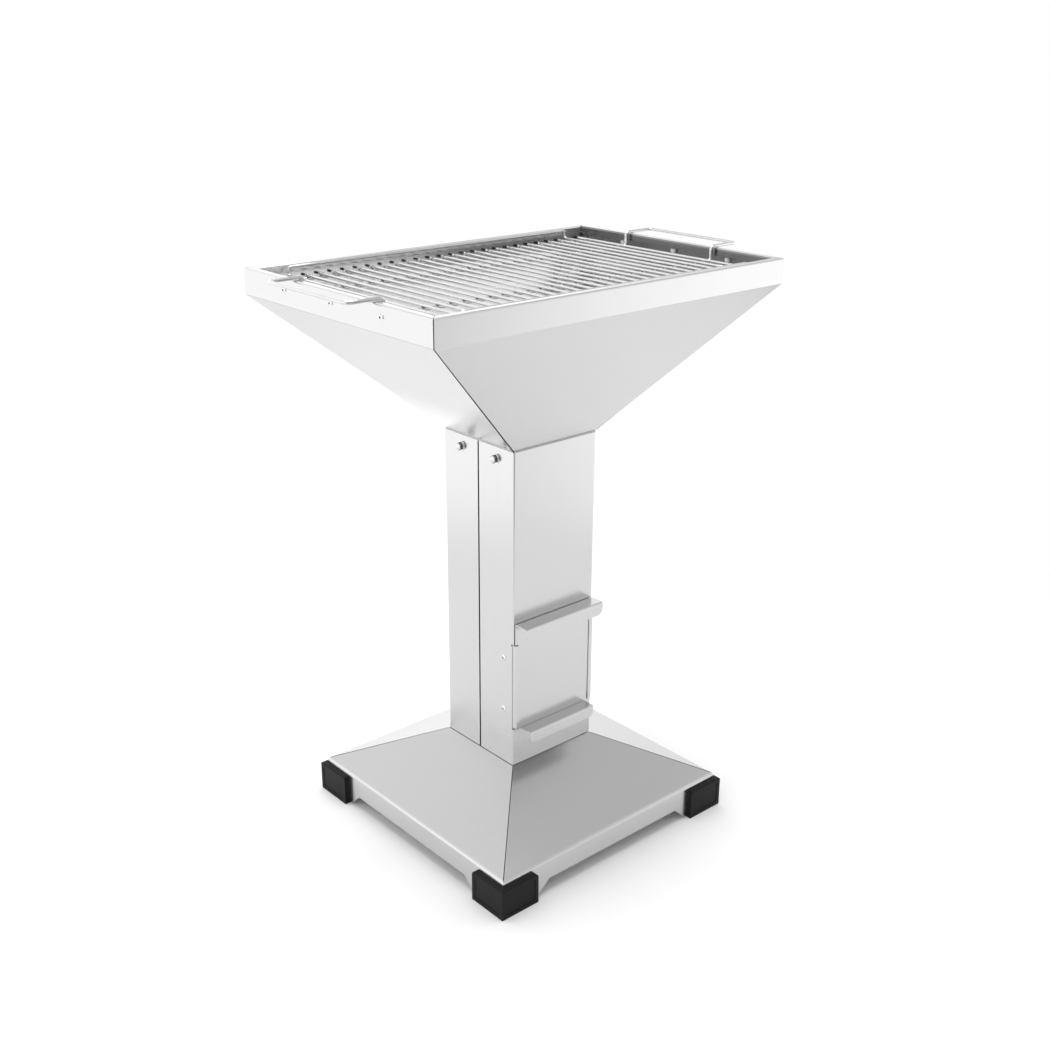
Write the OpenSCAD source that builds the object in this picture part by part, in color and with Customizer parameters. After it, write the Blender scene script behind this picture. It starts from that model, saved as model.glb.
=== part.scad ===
// Free-standing charcoal grill: a rectangular funnel bowl on a square sheet-steel chimney column
// with an air slider and an ash drawer, over a folded pyramid base with corner foot caps.
// X runs along the long side of the bowl, -Y is the door side, Z is up.
// The origin lies on the floor, under the middle of the column.

/* [Overall] */
// Height of the rim above the floor
grill_h = 848; // [800:1:900]
// Thickness of all folded sheet
sheet_t = 1.2; // [1:0.1:1.6]
// Running gap between a moving sheet piece and its neighbour
run_gap = 0.3; // [0.2:0.05:0.5]

/* [Base] */
// Outer width of the square skirt
base_w = 433; // [410:1:460]
// Height of the flat seat under the column
base_z = 120; // [105:1:135]
// Height of the fold between skirt and roof
skirt_top_z = 55; // [53:1:62]
// Inside radius of the skirt fold
skirt_fold_r = 6; // [2:0.5:8]
// Width of the flat seat ring, inwards from the outside of the column
seat_ring_w = 25; // [22:1:32]
// Width of the open seam along each hip of the roof
hip_seam = 0.9; // [0.5:0.1:1.5]
// Length of the skirt cut-out along its upper edge
cutout_l = 261; // [200:1:280]
// Height of the upper edge of the cut-out
cutout_z = 22.5; // [15:0.5:30]
// Run of the sloped ends of the cut-out
cutout_run = 20; // [10:1:24]

/* [Foot caps] */
// Length of each leg of a cap, from its outer corner
cap_leg = 66.5; // [50:0.5:72]
// Thickness of the outer wall
cap_t = 8; // [6:0.5:9]
// Height of the outer wall
cap_h = 47; // [40:0.5:50]
// Thickness of the sole under the skirt
cap_sole = 4; // [3:0.5:6]
// Thickness of the inner wall
cap_inner_t = 4; // [3:0.5:6]
// Height of the inner wall
cap_inner_h = 26; // [15:0.5:35]
// Radius of the upper corner at the free end of a leg
cap_end_r = 5; // [3:0.5:8]
// Width of the bevel round the upper outer edge
cap_bevel = 1.8; // [1:0.1:3]
// Margin round the sunk panel on each outer face
cap_margin = 6; // [4:0.5:9]
// Depth of the sunk panel
cap_sink = 0.8; // [0.4:0.1:1.5]
// Corner radius of the sunk panel
cap_panel_r = 2; // [1:0.5:4]

/* [Column] */
// Outer width along X
column_w = 156; // [145:1:170]
// Outer depth along Y
column_d = 152; // [142:1:165]
// Height of the upper edge
column_top_z = 609; // [585:1:630]
// Vertical slit between the two half shells
column_slit = 3; // [2:0.5:5]
// Inside radius of the column bends
column_bend_r = 1.5; // [1:0.25:3]
// Height of the lower edge of the front wall
front_wall_z = 318; // [300:1:335]
// Radius of the relief notch at the lower corners of the front wall
relief_r = 2; // [1:0.25:3]
// Width of the tabs that stand on the base
foot_tab_w = 14; // [13:0.5:17]
// Length of the tabs
foot_tab_l = 40; // [25:1:55]
// Distance of the tabs from the middle plane
foot_tab_y = 40; // [35:1:42]

/* [Guide rails] */
// Width of the front flange that holds the slider
rail_flange = 7; // [5:0.5:10]
// Play of the slider under the front flange
rail_play = 0.6; // [0.3:0.1:2.5]
// Radius of the lower outer corner of the front flange
rail_corner_r = 4; // [2:0.5:5]
// Depth of the side leg behind the front face of the column
rail_leg = 34; // [28:1:45]
// Height of the lower screw above the foot of the rail
rail_screw_z = 27; // [20:1:35]
// Distance between the two screws of a rail
rail_screw_pitch = 84; // [60:1:95]
// Distance of the screws behind the front face of the column
rail_screw_y = 20; // [16:1:24]

/* [Air slider] */
// Gap between the slider and the front wall of the column
slider_gap = 1.2; // [0.5:0.1:2]
// Height of the top of the slider when it is shut
slider_top_z = 352; // [340:1:370]
// Depth of the grip in front of the plate
slider_grip = 23.5; // [18:0.5:32]
// Height of the turned-down lip
slider_lip = 20; // [14:1:26]
// Radius of the lower corners of the lip
slider_lip_r = 10; // [4:0.5:12]
// Width of the grip
slider_grip_w = 151; // [120:1:154]

/* [Ash drawer] */
// Height of the drawer front
drawer_h = 61; // [56:1:70]
// Depth of the grip in front of the drawer front
drawer_grip = 23; // [16:1:30]
// Height of the turned-down lip
drawer_lip = 18; // [14:1:25]
// Radius of the lower corners of the lip
drawer_lip_r = 8; // [4:0.5:12]
// Gap between the drawer front and the guide rails over it
drawer_gap = 1; // [0.5:0.1:2]
// Width of the grip
drawer_grip_w = 128; // [100:1:145]
// Inside radius of the grip bends
grip_bend_r = 1.5; // [1:0.25:2.5]
// Width of the ash tray
tray_w = 124; // [100:1:125]
// Depth of the ash tray from front to back
tray_d = 135; // [100:1:140]
// Height of the ash tray
tray_h = 45; // [30:1:50]

/* [Bowl] */
// Outer length of the rim along X
rim_l = 620; // [590:1:650]
// Outer width of the rim along Y
rim_w = 414; // [395:1:435]
// Height of the upright rim band
rim_h = 36; // [30:1:45]
// Width of the flat flange on top of the rim
rim_flange = 12; // [10:0.5:14]
// Height of the lip turned down inside the flange
rim_lip = 11; // [8:0.5:12]
// Inside radius of the bowl bends
bowl_bend_r = 1.5; // [1:0.25:3]
// Depth of the neck inside the column
neck_h = 45; // [35:1:60]
// Open seam between two neighbouring bowl walls
bowl_seam = 1; // [0.6:0.1:1.5]
// Width of each side of the strip welded behind a hip seam
strip_w = 13; // [10:1:20]
// Length of each side of the angle welded inside a rim corner
corner_leg = 20; // [14:1:28]

/* [Charcoal grate] */
// Height of the underside of the charcoal grate above the foot of the bowl
coal_rise = 79.5; // [65:0.5:89]
// Thickness of the plate
coal_t = 2; // [1.5:0.25:3]
// Clearance between the plate and the strips in the corners of the funnel
coal_gap = 2; // [1:0.5:4]
// Width of the air slots
slot_w = 8; // [6:0.5:10]
// Length of the air slots
slot_l = 62; // [40:1:68]
// Distance between slots along X
slot_pitch_x = 20; // [16:0.5:22]
// Distance between rows of slots along Y
slot_pitch_y = 76; // [72:1:80]
// Slots in a row
slot_n = 13; // [9:1:13]
// Wire of the lifting loops
loop_d = 4; // [3:0.5:5]
// Height of the lifting loops over the plate
loop_h = 24; // [18:1:35]
// Span of the lifting loops
loop_w = 56; // [40:1:80]
// Distance of the lifting loops from the middle
loop_x = 146; // [140:1:150]

/* [Cooking grate] */
// Diameter of the rods that carry the food
rod_d = 4; // [3:0.5:5]
// Number of rods
rod_n = 27; // [25:1:27]
// Distance between the last rod and the outside of the rim
rod_margin = 34.4; // [32:0.2:60]
// Distance between the rod ends and the outside of the rim
rod_end_gap = 19; // [17:0.5:26]
// Depth of the top of the rods under the rim
rod_drop = 12.8; // [8:0.1:14]
// Diameter of the bars under the rods
bar_d = 5; // [4:0.5:6]
// Depth to which the welded wires sink into each other
weld_sink = 0.4; // [0.2:0.1:0.8]
// Distance of the inner bars from the middle, also that of the handle legs
bar_y = 87; // [75:1:100]
// Distance of the outer bars from the rod ends
end_bar_inset = 16; // [14:0.5:28]
// Reach of the handles beyond the rim
handle_reach = 38; // [30:1:50]
// Bend radius of the outer handle corners
handle_r = 7; // [6:0.5:16]
// Bend radius of the handle hooks
hook_r = 6; // [4:0.5:7]
// Gap between the rim flange and the handle hooks
hook_gap = 3.5; // [2:0.5:7]
// Rise of the guard rails over the rods
rail_rise = 11.8; // [10.5:0.1:14]
// Bend radius of the guard rails
rail_r = 5; // [3.5:0.25:5]
// Length of the guard rail feet that continue the second rods
rail_foot = 35; // [20:1:45]

/* [Fasteners] */
// Thread diameter of the neck bolts
neck_bolt_d = 8; // [6:1:8]
// Distance of the neck bolts from the middle plane
neck_bolt_y = 38; // [28:1:48]
// Depth of the neck bolts under the upper edge of the column
neck_bolt_drop = 17; // [12:1:24]
// Diameter of the neck washers
washer_d = 16; // [14:0.5:20]
// Thickness of the neck washers
washer_t = 1.6; // [1:0.1:2]
// Thread diameter of the small screws in the rim and the rails
screw_d = 5; // [4:0.5:5]
// Diameter of the round heads of the small screws
screw_head_d = 9.5; // [8:0.5:11]
// Height of the round heads
screw_head_h = 2.8; // [2:0.1:4]
// Distance between the screws in a short side of the rim
rim_screw_pitch = 107; // [80:1:120]
// Depth of the rim screws under the top of the rim
rim_screw_drop = 15; // [14:0.5:20]
// Thread diameter of the bolts between column and base
foot_bolt_d = 6; // [5:0.5:6]
// Length of a bolt end that stands out of its nut
bolt_end = 1.5; // [1:0.5:4]
// Radial clearance of a bolt in its hole
hole_gap = 0.4; // [0.2:0.05:0.6]
// Radial clearance that stands for the thread
thread_gap = 0.05; // [0.03:0.01:0.1]

/* [Hidden] */
$fn = 48;
// Largest turn of one facet in a sheet bend
bend_step = 15;
// Overshoot of cutting solids
cut = 1;

// Half sizes
base_x = base_w / 2;
column_x = column_w / 2;
column_y = column_d / 2;
rim_x = rim_l / 2;
rim_y = rim_w / 2;
neck_x = column_x - sheet_t;
neck_y = column_y - sheet_t;
foot_bolt_x = neck_x - foot_tab_w / 2;
cap_outer = base_x + cap_t;
// Direction of the bowl's hips in plan
hip_angle = atan2(rim_y - neck_y, rim_x - neck_x);

// Heights
skirt_low_z = cap_sole;
rim_low_z = grill_h - rim_h;
bowl_foot_z = column_top_z + bowl_bend_r;
coal_z = bowl_foot_z + coal_rise;
rail_low_z = base_z + drawer_h + drawer_gap;
rail_h = front_wall_z - rail_low_z;
slider_low_z = rail_low_z + sheet_t + run_gap;

// Front wall planes, measured forwards of the middle plane
front_cut = sheet_t + run_gap;
bend_cut = sheet_t + column_bend_r;
plate_back = column_y + slider_gap;
plate_front = plate_back + sheet_t;
rail_front = plate_front + rail_play + sheet_t;

// Cooking grate
rod_l = rim_w - 2 * rod_end_gap;
rod_span = rim_l - 2 * rod_margin;
rod_pitch = rod_span / (rod_n - 1);
end_bar_y = rod_l / 2 - end_bar_inset;
rod_z = grill_h - rod_drop - rod_d / 2;
bar_z = rod_z - (rod_d + bar_d) / 2 + weld_sink;
handle_z = grill_h + run_gap + bar_d / 2;
handle_x = rim_x + handle_reach - bar_d / 2;
hook_x = rim_x - rim_flange - hook_gap - bar_d / 2;
bar_end_x = rod_span / 2 - rod_pitch / 2;
end_bar_l = rod_span + 2 * rod_d;
rail_x = rod_span / 2 - rod_pitch;
rail_y = (rod_l - rod_d) / 2;
rail_z = rod_z + rail_rise;

// Standard proportions of nuts and heads
hex_ratio = 1.6;
nut_ratio = 0.8;
head_ratio = 0.65;
// Step between the flats and the dome of a cap nut
dome_step = 0.5;
// Wall over the blind hole of a cap nut
dome_wall = 2;

// Plane geometry

function unit(v) = v / norm(v);

// Direction a quarter turn to the left of v
function left_of(v) = [-v[1], v[0]];

function turned(v, a) = [v[0] * cos(a) - v[1] * sin(a), v[0] * sin(a) + v[1] * cos(a)];

// Signed angle from direction u to direction v, positive to the left
function turn(u, v) = atan2(u[0] * v[1] - u[1] * v[0], u * v);

function reversed(list) = [for (i = [len(list) - 1:-1:0]) list[i]];

// Arc at corner p between directions u and v, shifted by s to the left of the path.
// r is the radius of the path itself at that corner.
function arc_at(p, u, v, r, s) =
    let (a = turn(u, v), k = sign(a), n = max(1, ceil(abs(a) / bend_step)))
    let (c = p - u * r * tan(abs(a) / 2) + left_of(u) * k * r)
    [for (i = [0:n]) c - left_of(turned(u, a * i / n)) * k * (r - k * s)];

// One face of a folded sheet whose path is its right-hand face: bends of inside radius r[i]
function face(path, r, t, s) =
    let (n = len(path))
    concat(
        [path[0] + left_of(unit(path[1] - path[0])) * s],
        [for (i = [1:n - 2])
            let (u = unit(path[i] - path[i - 1]), v = unit(path[i + 1] - path[i]))
            let (out = turn(u, v) > 0 ? r[i - 1] + t : r[i - 1])
            each arc_at(path[i], u, v, out, s)],
        [path[n - 1] + left_of(unit(path[n - 1] - path[n - 2])) * s]);

// Cross-section of a folded sheet of thickness t to the left of the path
module folded(path, r, t = sheet_t) {
    polygon(concat(face(path, r, t, 0), reversed(face(path, r, t, t))));
}

// Polygon with rounded corners, given counter-clockwise
module rounded(points, r) {
    n = len(points);
    polygon([for (i = [0:n - 1])
        let (p = points[i])
        let (u = unit(p - points[(i + n - 1) % n]), v = unit(points[(i + 1) % n] - p))
        each (r[i] > 0 ? arc_at(p, u, v, r[i], 0) : [p])]);
}

// Turns a section drawn as outward distance and height into a wall of length l towards +X
module wall_x(l) {
    rotate([90, 0, 0]) linear_extrude(height = l, center = true) children();
}

// The same towards -Y
module wall_front(l) {
    rotate([0, 0, -90]) wall_x(l) children();
}

// Wire

// Rigid frame with its Z axis along d, at point p
function along(p, d) =
    let (z = unit(d), x = unit(cross(abs(z[2]) < 0.9 ? [0, 0, 1] : [1, 0, 0], z)), y = cross(z, x))
    [[x[0], y[0], z[0], p[0]], [x[1], y[1], z[1], p[1]], [x[2], y[2], z[2], p[2]], [0, 0, 0, 1]];

// Frame of the bend at corner p: its X axis points at the start of the bend, Y along the wire
function bend_frame(p, u, v, r) =
    let (w = unit(v - u * (u * v)), a = acos(u * v), c = p - u * r * tan(a / 2) + w * r)
    let (x = -w, z = cross(x, u))
    [[x[0], u[0], z[0], c[0]], [x[1], u[1], z[1], c[1]], [x[2], u[2], z[2], c[2]], [0, 0, 0, 1]];

// Round wire of diameter d along a path whose corners are bent to radius r[i]
module wire(path, d, r) {
    n = len(path);
    dirs = [for (i = [0:n - 2]) unit(path[i + 1] - path[i])];
    inset = [for (i = [0:n - 1]) i == 0 || i == n - 1 ? 0
        : r[i - 1] * tan(acos(dirs[i - 1] * dirs[i]) / 2)];
    for (i = [0:n - 2]) {
        start = path[i] + dirs[i] * inset[i];
        length = norm(path[i + 1] - path[i]) - inset[i] - inset[i + 1];
        if (length > 0) multmatrix(along(start, dirs[i])) cylinder(d = d, h = length);
    }
    for (i = [1:n - 2]) {
        a = acos(dirs[i - 1] * dirs[i]);
        multmatrix(bend_frame(path[i], dirs[i - 1], dirs[i], r[i - 1]))
            rotate_extrude(angle = a) translate([r[i - 1], 0]) circle(d = d);
    }
}

// Fasteners, all drawn with the seat of the head at z = 0 and the shank towards -Z

// Hexagon with distance w across its flats
module hexagon(w) {
    circle(d = w / cos(30), $fn = 6);
}

module hex_bolt(d, l) {
    linear_extrude(height = d * head_ratio) hexagon(d * hex_ratio);
    translate([0, 0, -l]) cylinder(d = d, h = l);
}

module hex_nut(d) {
    difference() {
        linear_extrude(height = d * nut_ratio) hexagon(d * hex_ratio);
        translate([0, 0, -cut]) cylinder(d = d + 2 * thread_gap, h = d * nut_ratio + 2 * cut);
    }
}

// Height of a cap nut for thread d
function dome_nut_h(d) = d * (nut_ratio + hex_ratio / 2) - dome_step;

// Nut with a closed dome over a hexagon
module dome_nut(d) {
    hex_h = d * nut_ratio;
    difference() {
        union() {
            linear_extrude(height = hex_h) hexagon(d * hex_ratio);
            translate([0, 0, hex_h]) difference() {
                sphere(r = d * hex_ratio / 2 - dome_step);
                translate([0, 0, -d - hex_h]) cylinder(r = d, h = d + hex_h / 2);
            }
        }
        translate([0, 0, -cut]) cylinder(d = d + 2 * thread_gap, h = dome_nut_h(d) - dome_wall + cut);
    }
}

// Length of a bolt that passes through grip and ends inside a cap nut
function dome_reach(d, grip) = grip + dome_nut_h(d) - 2 * dome_wall;

// Screw with a low domed head
module dome_screw(l) {
    // Sphere that passes through the edge of the head and its crown
    crown_r = (pow(screw_head_d / 2, 2) + pow(screw_head_h, 2)) / (2 * screw_head_h);
    intersection() {
        translate([0, 0, screw_head_h - crown_r]) sphere(r = crown_r);
        cylinder(d = screw_head_d, h = screw_head_h);
    }
    translate([0, 0, -l]) cylinder(d = screw_d, h = l);
}

// Base

// Outer face of the base across two opposite sides, over the seat between them
function base_path(seat) = [
    [base_x, skirt_low_z], [base_x, skirt_top_z], [seat, base_z],
    [-seat, base_z], [-base_x, skirt_top_z], [-base_x, skirt_low_z]];

// Space under the face that lies s inside the outer one
module base_section(seat, s) {
    r = [skirt_fold_r, column_bend_r, column_bend_r, skirt_fold_r];
    low = skirt_low_z - (s > 0 ? cut : 0);
    polygon(concat([[base_x - s, low]], face(base_path(seat), r, sheet_t, s), [[s - base_x, low]]));
}

// Solid inside both pairs of sides
module base_block(s) {
    intersection() {
        wall_x(base_w) base_section(column_x, s);
        rotate([0, 0, 90]) wall_x(base_w) base_section(column_y, s);
    }
}

// Cutter for the long trapezoid openings in two opposite skirt sides
module skirt_cutout() {
    half = cutout_l / 2;
    rotate([90, 0, 90]) linear_extrude(height = base_w + 4 * cut, center = true)
        polygon([[-half - cutout_run, -cut], [half + cutout_run, -cut],
                 [half + cutout_run, skirt_low_z], [half, cutout_z],
                 [-half, cutout_z], [-half - cutout_run, skirt_low_z]]);
}

// Cutter for one hip seam, from just outside the column down to the skirt fold
module hip_slit() {
    run = norm([base_x - column_x, base_x - column_y]);
    angle = atan2(base_x - column_y, base_x - column_x);
    translate([column_x, column_y, skirt_top_z]) rotate([0, 0, angle])
        translate([hip_seam, -hip_seam / 2, 0]) cube([run, hip_seam, base_z - skirt_top_z + cut]);
}

module foot_bolt_places() {
    for (x = [-1, 1], y = [-1, 1])
        translate([x * foot_bolt_x, y * foot_tab_y, base_z]) children();
}

module base_shell() {
    color("gainsboro") difference() {
        base_block(0);
        base_block(sheet_t);
        cube([column_w - 2 * seat_ring_w, column_d - 2 * seat_ring_w, 2 * base_z + cut], center = true);
        skirt_cutout();
        rotate([0, 0, 90]) skirt_cutout();
        for (mx = [0, 1], my = [0, 1]) mirror([mx, 0, 0]) mirror([0, my, 0]) hip_slit();
        foot_bolt_places() translate([0, 0, -sheet_t - cut])
            cylinder(d = foot_bolt_d + 2 * hole_gap, h = sheet_t + 2 * cut);
    }
}

// Foot cap in the corner towards +X and +Y

// Outline of the outer face of one leg
module cap_face() {
    rounded([[cap_outer - cap_leg, 0], [cap_outer, 0], [cap_outer, cap_h], [cap_outer - cap_leg, cap_h]],
            [0, 0, 0, cap_end_r]);
}

// Leg along X with its outer face at y = cap_outer
module cap_leg_body() {
    inner_y = base_x - sheet_t - cap_inner_t;
    translate([0, cap_outer, 0]) rotate([90, 0, 0]) linear_extrude(height = cap_outer - base_x) cap_face();
    translate([cap_outer - cap_leg, inner_y, 0]) cube([cap_leg, cap_outer - inner_y, cap_sole]);
    translate([cap_outer - cap_leg, inner_y, 0]) cube([cap_leg, cap_inner_t, cap_inner_h]);
}

module cap_panel() {
    x0 = cap_outer - cap_leg + cap_margin;
    x1 = cap_outer - cap_margin;
    translate([0, cap_outer + cut, 0]) rotate([90, 0, 0]) linear_extrude(height = cut + cap_sink)
        rounded([[x0, cap_margin], [x1, cap_margin], [x1, cap_h - cap_margin], [x0, cap_h - cap_margin]],
                [cap_panel_r, cap_panel_r, cap_panel_r, cap_panel_r]);
}

// Swaps the X and Y legs of a cap
module swapped() {
    mirror([1, -1, 0]) children();
}

// Bevel cutter: a wedge over the upper outer edge
module cap_bevel_cut() {
    translate([cap_outer - cap_leg - cut, 0, 0]) rotate([90, 0, 90]) linear_extrude(height = cap_leg + 2 * cut)
        polygon([[cap_outer - cap_bevel, cap_h + cut], [cap_outer - cap_bevel, cap_h],
                 [cap_outer, cap_h - cap_bevel], [cap_outer + cut, cap_h - cap_bevel],
                 [cap_outer + cut, cap_h + cut]]);
}

// Room for the two skirt walls that meet in the corner
module skirt_slot() {
    translate([0, 0, cap_sole]) linear_extrude(height = cap_h) difference() {
        square([base_x, base_x]);
        square([base_x - sheet_t, base_x - sheet_t]);
    }
}

module foot_cap() {
    color("dimgray") difference() {
        union() {
            cap_leg_body();
            swapped() cap_leg_body();
        }
        cap_panel();
        swapped() cap_panel();
        cap_bevel_cut();
        swapped() cap_bevel_cut();
        skirt_slot();
    }
}

module foot_cap_rear_right() {
    foot_cap();
}

module foot_cap_rear_left() {
    mirror([1, 0, 0]) foot_cap();
}

module foot_cap_front_right() {
    mirror([0, 1, 0]) foot_cap();
}

module foot_cap_front_left() {
    mirror([1, 0, 0]) mirror([0, 1, 0]) foot_cap();
}

// Column

// Half shell that closes the -Y side, with its tabs on the base
module half_shell() {
    slit = column_slit / 2;
    translate([0, 0, base_z]) {
        linear_extrude(height = column_top_z - base_z)
            folded([[-column_x, -slit], [-column_x, -column_y], [column_x, -column_y], [column_x, -slit]],
                   [column_bend_r, column_bend_r]);
        for (s = [-1, 1])
            translate([s * foot_bolt_x, -foot_tab_y, sheet_t / 2])
                cube([foot_tab_w, foot_tab_l, sheet_t], center = true);
    }
}

// Holes for the neck bolts and the tab bolts of both shells
module shell_holes() {
    neck_bolt_places() translate([0, 0, -sheet_t - cut])
        cylinder(d = neck_bolt_d + 2 * hole_gap, h = sheet_t + 2 * cut);
    foot_bolt_places() translate([0, 0, -cut])
        cylinder(d = foot_bolt_d + 2 * hole_gap, h = sheet_t + 2 * cut);
}

// Places on the outside of the column, Z outwards
module neck_bolt_places() {
    for (s = [-1, 1], y = [-1, 1])
        translate([s * column_x, y * neck_bolt_y, column_top_z - neck_bolt_drop]) rotate([0, s * 90, 0]) children();
}

// The same on the side walls, in line with the rail screws
module rail_screw_places(sides = [-1, 1]) {
    for (s = sides, k = [0, 1])
        translate([s * column_x, rail_screw_y - column_y, rail_low_z + rail_screw_z + k * rail_screw_pitch])
            rotate([0, s * 90, 0]) children();
}

// Cutter for the front wall between two heights, to a depth behind its outer face
module doorway(low, high, depth) {
    translate([-column_x - cut, -column_y - cut, low]) cube([column_w + 2 * cut, depth + cut, high - low]);
}

module column_front() {
    color("gainsboro") difference() {
        half_shell();
        shell_holes();
        // Doorway for the drawer and the slider, as wide as the column
        doorway(base_z - cut, rail_low_z, front_cut);
        doorway(rail_low_z - cut, front_wall_z, bend_cut);
        for (s = [-1, 1])
            translate([s * column_x, bend_cut - column_y, front_wall_z]) rotate([0, 90, 0])
                cylinder(r = relief_r, h = 4 * sheet_t, center = true);
        rail_screw_places() translate([0, 0, -sheet_t - cut])
            cylinder(d = screw_d + 2 * hole_gap, h = sheet_t + 2 * cut);
    }
}

module column_rear() {
    color("gainsboro") difference() {
        mirror([0, 1, 0]) half_shell();
        shell_holes();
    }
}

module foot_bolts() {
    grip = 2 * sheet_t + foot_bolt_d * nut_ratio + bolt_end;
    color("silver") foot_bolt_places() translate([0, 0, sheet_t]) hex_bolt(foot_bolt_d, grip);
}

module foot_nuts() {
    color("silver") foot_bolt_places() translate([0, 0, -sheet_t]) mirror([0, 0, 1]) hex_nut(foot_bolt_d);
}

// Guide rails

// Cutter for the lower outer corner of the front flange
module rail_corner() {
    translate([-neck_x - cut, -rail_front - cut, rail_low_z - cut]) difference() {
        cube([rail_corner_r + cut, rail_front - column_y + cut, rail_corner_r + cut]);
        translate([rail_corner_r + cut, -cut, rail_corner_r + cut]) rotate([-90, 0, 0])
            cylinder(r = rail_corner_r, h = rail_front);
    }
}

// Angle on the -X side: a side leg inside the column wall and a flange in front of the slider
module guide_rail() {
    hole_h = 2 * sheet_t + 2 * cut;
    difference() {
        union() {
            translate([0, 0, rail_low_z]) linear_extrude(height = rail_h)
                folded([[-neck_x, rail_leg - column_y], [-neck_x, -rail_front], [rail_flange - neck_x, -rail_front]],
                       [sheet_t / 2]);
            // Stop under the slider
            translate([-neck_x + sheet_t / 2, -rail_front + sheet_t / 2, rail_low_z])
                cube([rail_flange - sheet_t / 2, rail_front - column_y + 2 * sheet_t, sheet_t]);
        }
        rail_corner();
        rail_screw_places([-1]) translate([0, 0, -hole_h]) cylinder(d = screw_d + 2 * hole_gap, h = hole_h + cut);
    }
}

module guide_rail_left() {
    color("lightgray") guide_rail();
}

module guide_rail_right() {
    color("lightgray") mirror([1, 0, 0]) guide_rail();
}

module rail_screws() {
    color("silver") rail_screw_places() dome_screw(2 * sheet_t + screw_d * nut_ratio + bolt_end);
}

module rail_nuts() {
    color("silver") rail_screw_places() translate([0, 0, -2 * sheet_t]) mirror([0, 0, 1]) hex_nut(screw_d);
}

// Sheet plate with a grip folded forwards from its upper edge and a lip turned down from it.
// back is the rear face forwards of the middle plane, low and top are heights.
module grip_plate(plate_w, grip_w, back, low, top, grip, lip, lip_r) {
    front = back + sheet_t;
    under = top - sheet_t;
    lip_in = front + grip - sheet_t;
    shoulder = under - 2 * sheet_t - grip_bend_r;
    translate([-plate_w / 2, -front, low]) cube([plate_w, sheet_t, shoulder - low]);
    difference() {
        wall_front(grip_w) folded([[front, shoulder], [front, under], [lip_in, under], [lip_in, top - lip]],
                                  [grip_bend_r, grip_bend_r]);
        for (m = [0, 1]) mirror([m, 0, 0])
            translate([grip_w / 2 - lip_r, -lip_in - sheet_t - cut, top - lip + lip_r]) difference() {
                translate([0, 0, -lip_r - cut]) cube([lip_r + cut, 2 * sheet_t + cut, lip_r + cut]);
                rotate([-90, 0, 0]) translate([0, 0, -cut]) cylinder(r = lip_r, h = 4 * sheet_t + cut);
            }
    }
}

module air_slider() {
    plate_w = 2 * (neck_x - sheet_t - run_gap);
    tongue_w = 2 * (neck_x - rail_flange - run_gap);
    tongue_z = base_z + drawer_h + run_gap;
    color("whitesmoke") {
        grip_plate(plate_w, slider_grip_w, plate_back, slider_low_z, slider_top_z,
                   slider_grip, slider_lip, slider_lip_r);
        // Tongue that reaches down between the stops of the rails
        translate([-tongue_w / 2, -plate_front, tongue_z])
            cube([tongue_w, sheet_t, slider_low_z - tongue_z + sheet_t]);
    }
}

module drawer_front() {
    color("whitesmoke") grip_plate(column_w, drawer_grip_w, column_y - sheet_t, base_z + run_gap,
                                   base_z + drawer_h, drawer_grip, drawer_lip, drawer_lip_r);
}

module ash_tray() {
    color("lightgray") translate([-tray_w / 2, sheet_t - column_y, base_z + run_gap]) difference() {
        cube([tray_w, tray_d, tray_h]);
        translate([sheet_t, sheet_t, sheet_t])
            cube([tray_w - 2 * sheet_t, tray_d - 2 * sheet_t, tray_h]);
    }
}

// Bowl

// Outer face of a bowl wall: neck, slope, rim band, flange and lip
function bowl_path(neck, rim) = [
    [neck, column_top_z - neck_h], [neck, bowl_foot_z], [rim, rim_low_z], [rim, grill_h],
    [rim - rim_flange, grill_h], [rim - rim_flange, grill_h - rim_lip]];

// Outward distance of the slope at height z, moved inwards by the distance off
function slope_at(neck, rim, z, off) =
    let (run = rim - neck, rise = rim_low_z - bowl_foot_z)
    neck + (z - bowl_foot_z) * run / rise - off * norm([run, rise]) / rise;

// Space between two hips on the +X side: half width v0 at distance u0, v1 at u1, less half a seam
module between_hips(u0, v0, u1, v1, low, high) {
    slope = (v1 - v0) / (u1 - u0);
    back_off = bowl_seam / 2 * norm([1, slope]);
    inner = u0 - 3 * sheet_t;
    outer = u1 + cut;
    inner_v = v0 + (inner - u0) * slope - back_off;
    outer_v = v0 + (outer - u0) * slope - back_off;
    translate([0, 0, low]) linear_extrude(height = high - low)
        polygon([[inner, -inner_v], [outer, -outer_v], [outer, outer_v], [inner, inner_v]]);
}

// Wall on the +X side: neck and rim are its half distances, neck_v and rim_v those of its neighbours
module bowl_wall(neck, neck_v, rim, rim_v) {
    bend = bowl_bend_r;
    intersection() {
        wall_x(2 * rim_v) folded(bowl_path(neck, rim), [bend, bend, bend, bend]);
        union() {
            // The neck ends short of the rounded corners of the column
            translate([0, column_bend_r - neck_v, column_top_z - neck_h - cut])
                cube([rim, 2 * (neck_v - column_bend_r), neck_h + 2 * cut]);
            between_hips(neck, neck_v, rim, rim_v, column_top_z, rim_low_z);
            between_hips(rim - rim_flange, rim_v - rim_flange, rim, rim_v, rim_low_z, grill_h + cut);
        }
    }
}

module bowl_side_wall() {
    difference() {
        bowl_wall(neck_x, neck_y, rim_x, rim_y);
        neck_bolt_places() translate([0, 0, -2 * sheet_t - cut])
            cylinder(d = neck_bolt_d + 2 * hole_gap, h = 2 * sheet_t + 2 * cut);
        rim_screw_places() translate([0, 0, -sheet_t - cut])
            cylinder(d = screw_d + 2 * hole_gap, h = sheet_t + 2 * cut);
    }
}

module bowl_left() {
    color("white") mirror([1, 0, 0]) bowl_side_wall();
}

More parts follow.
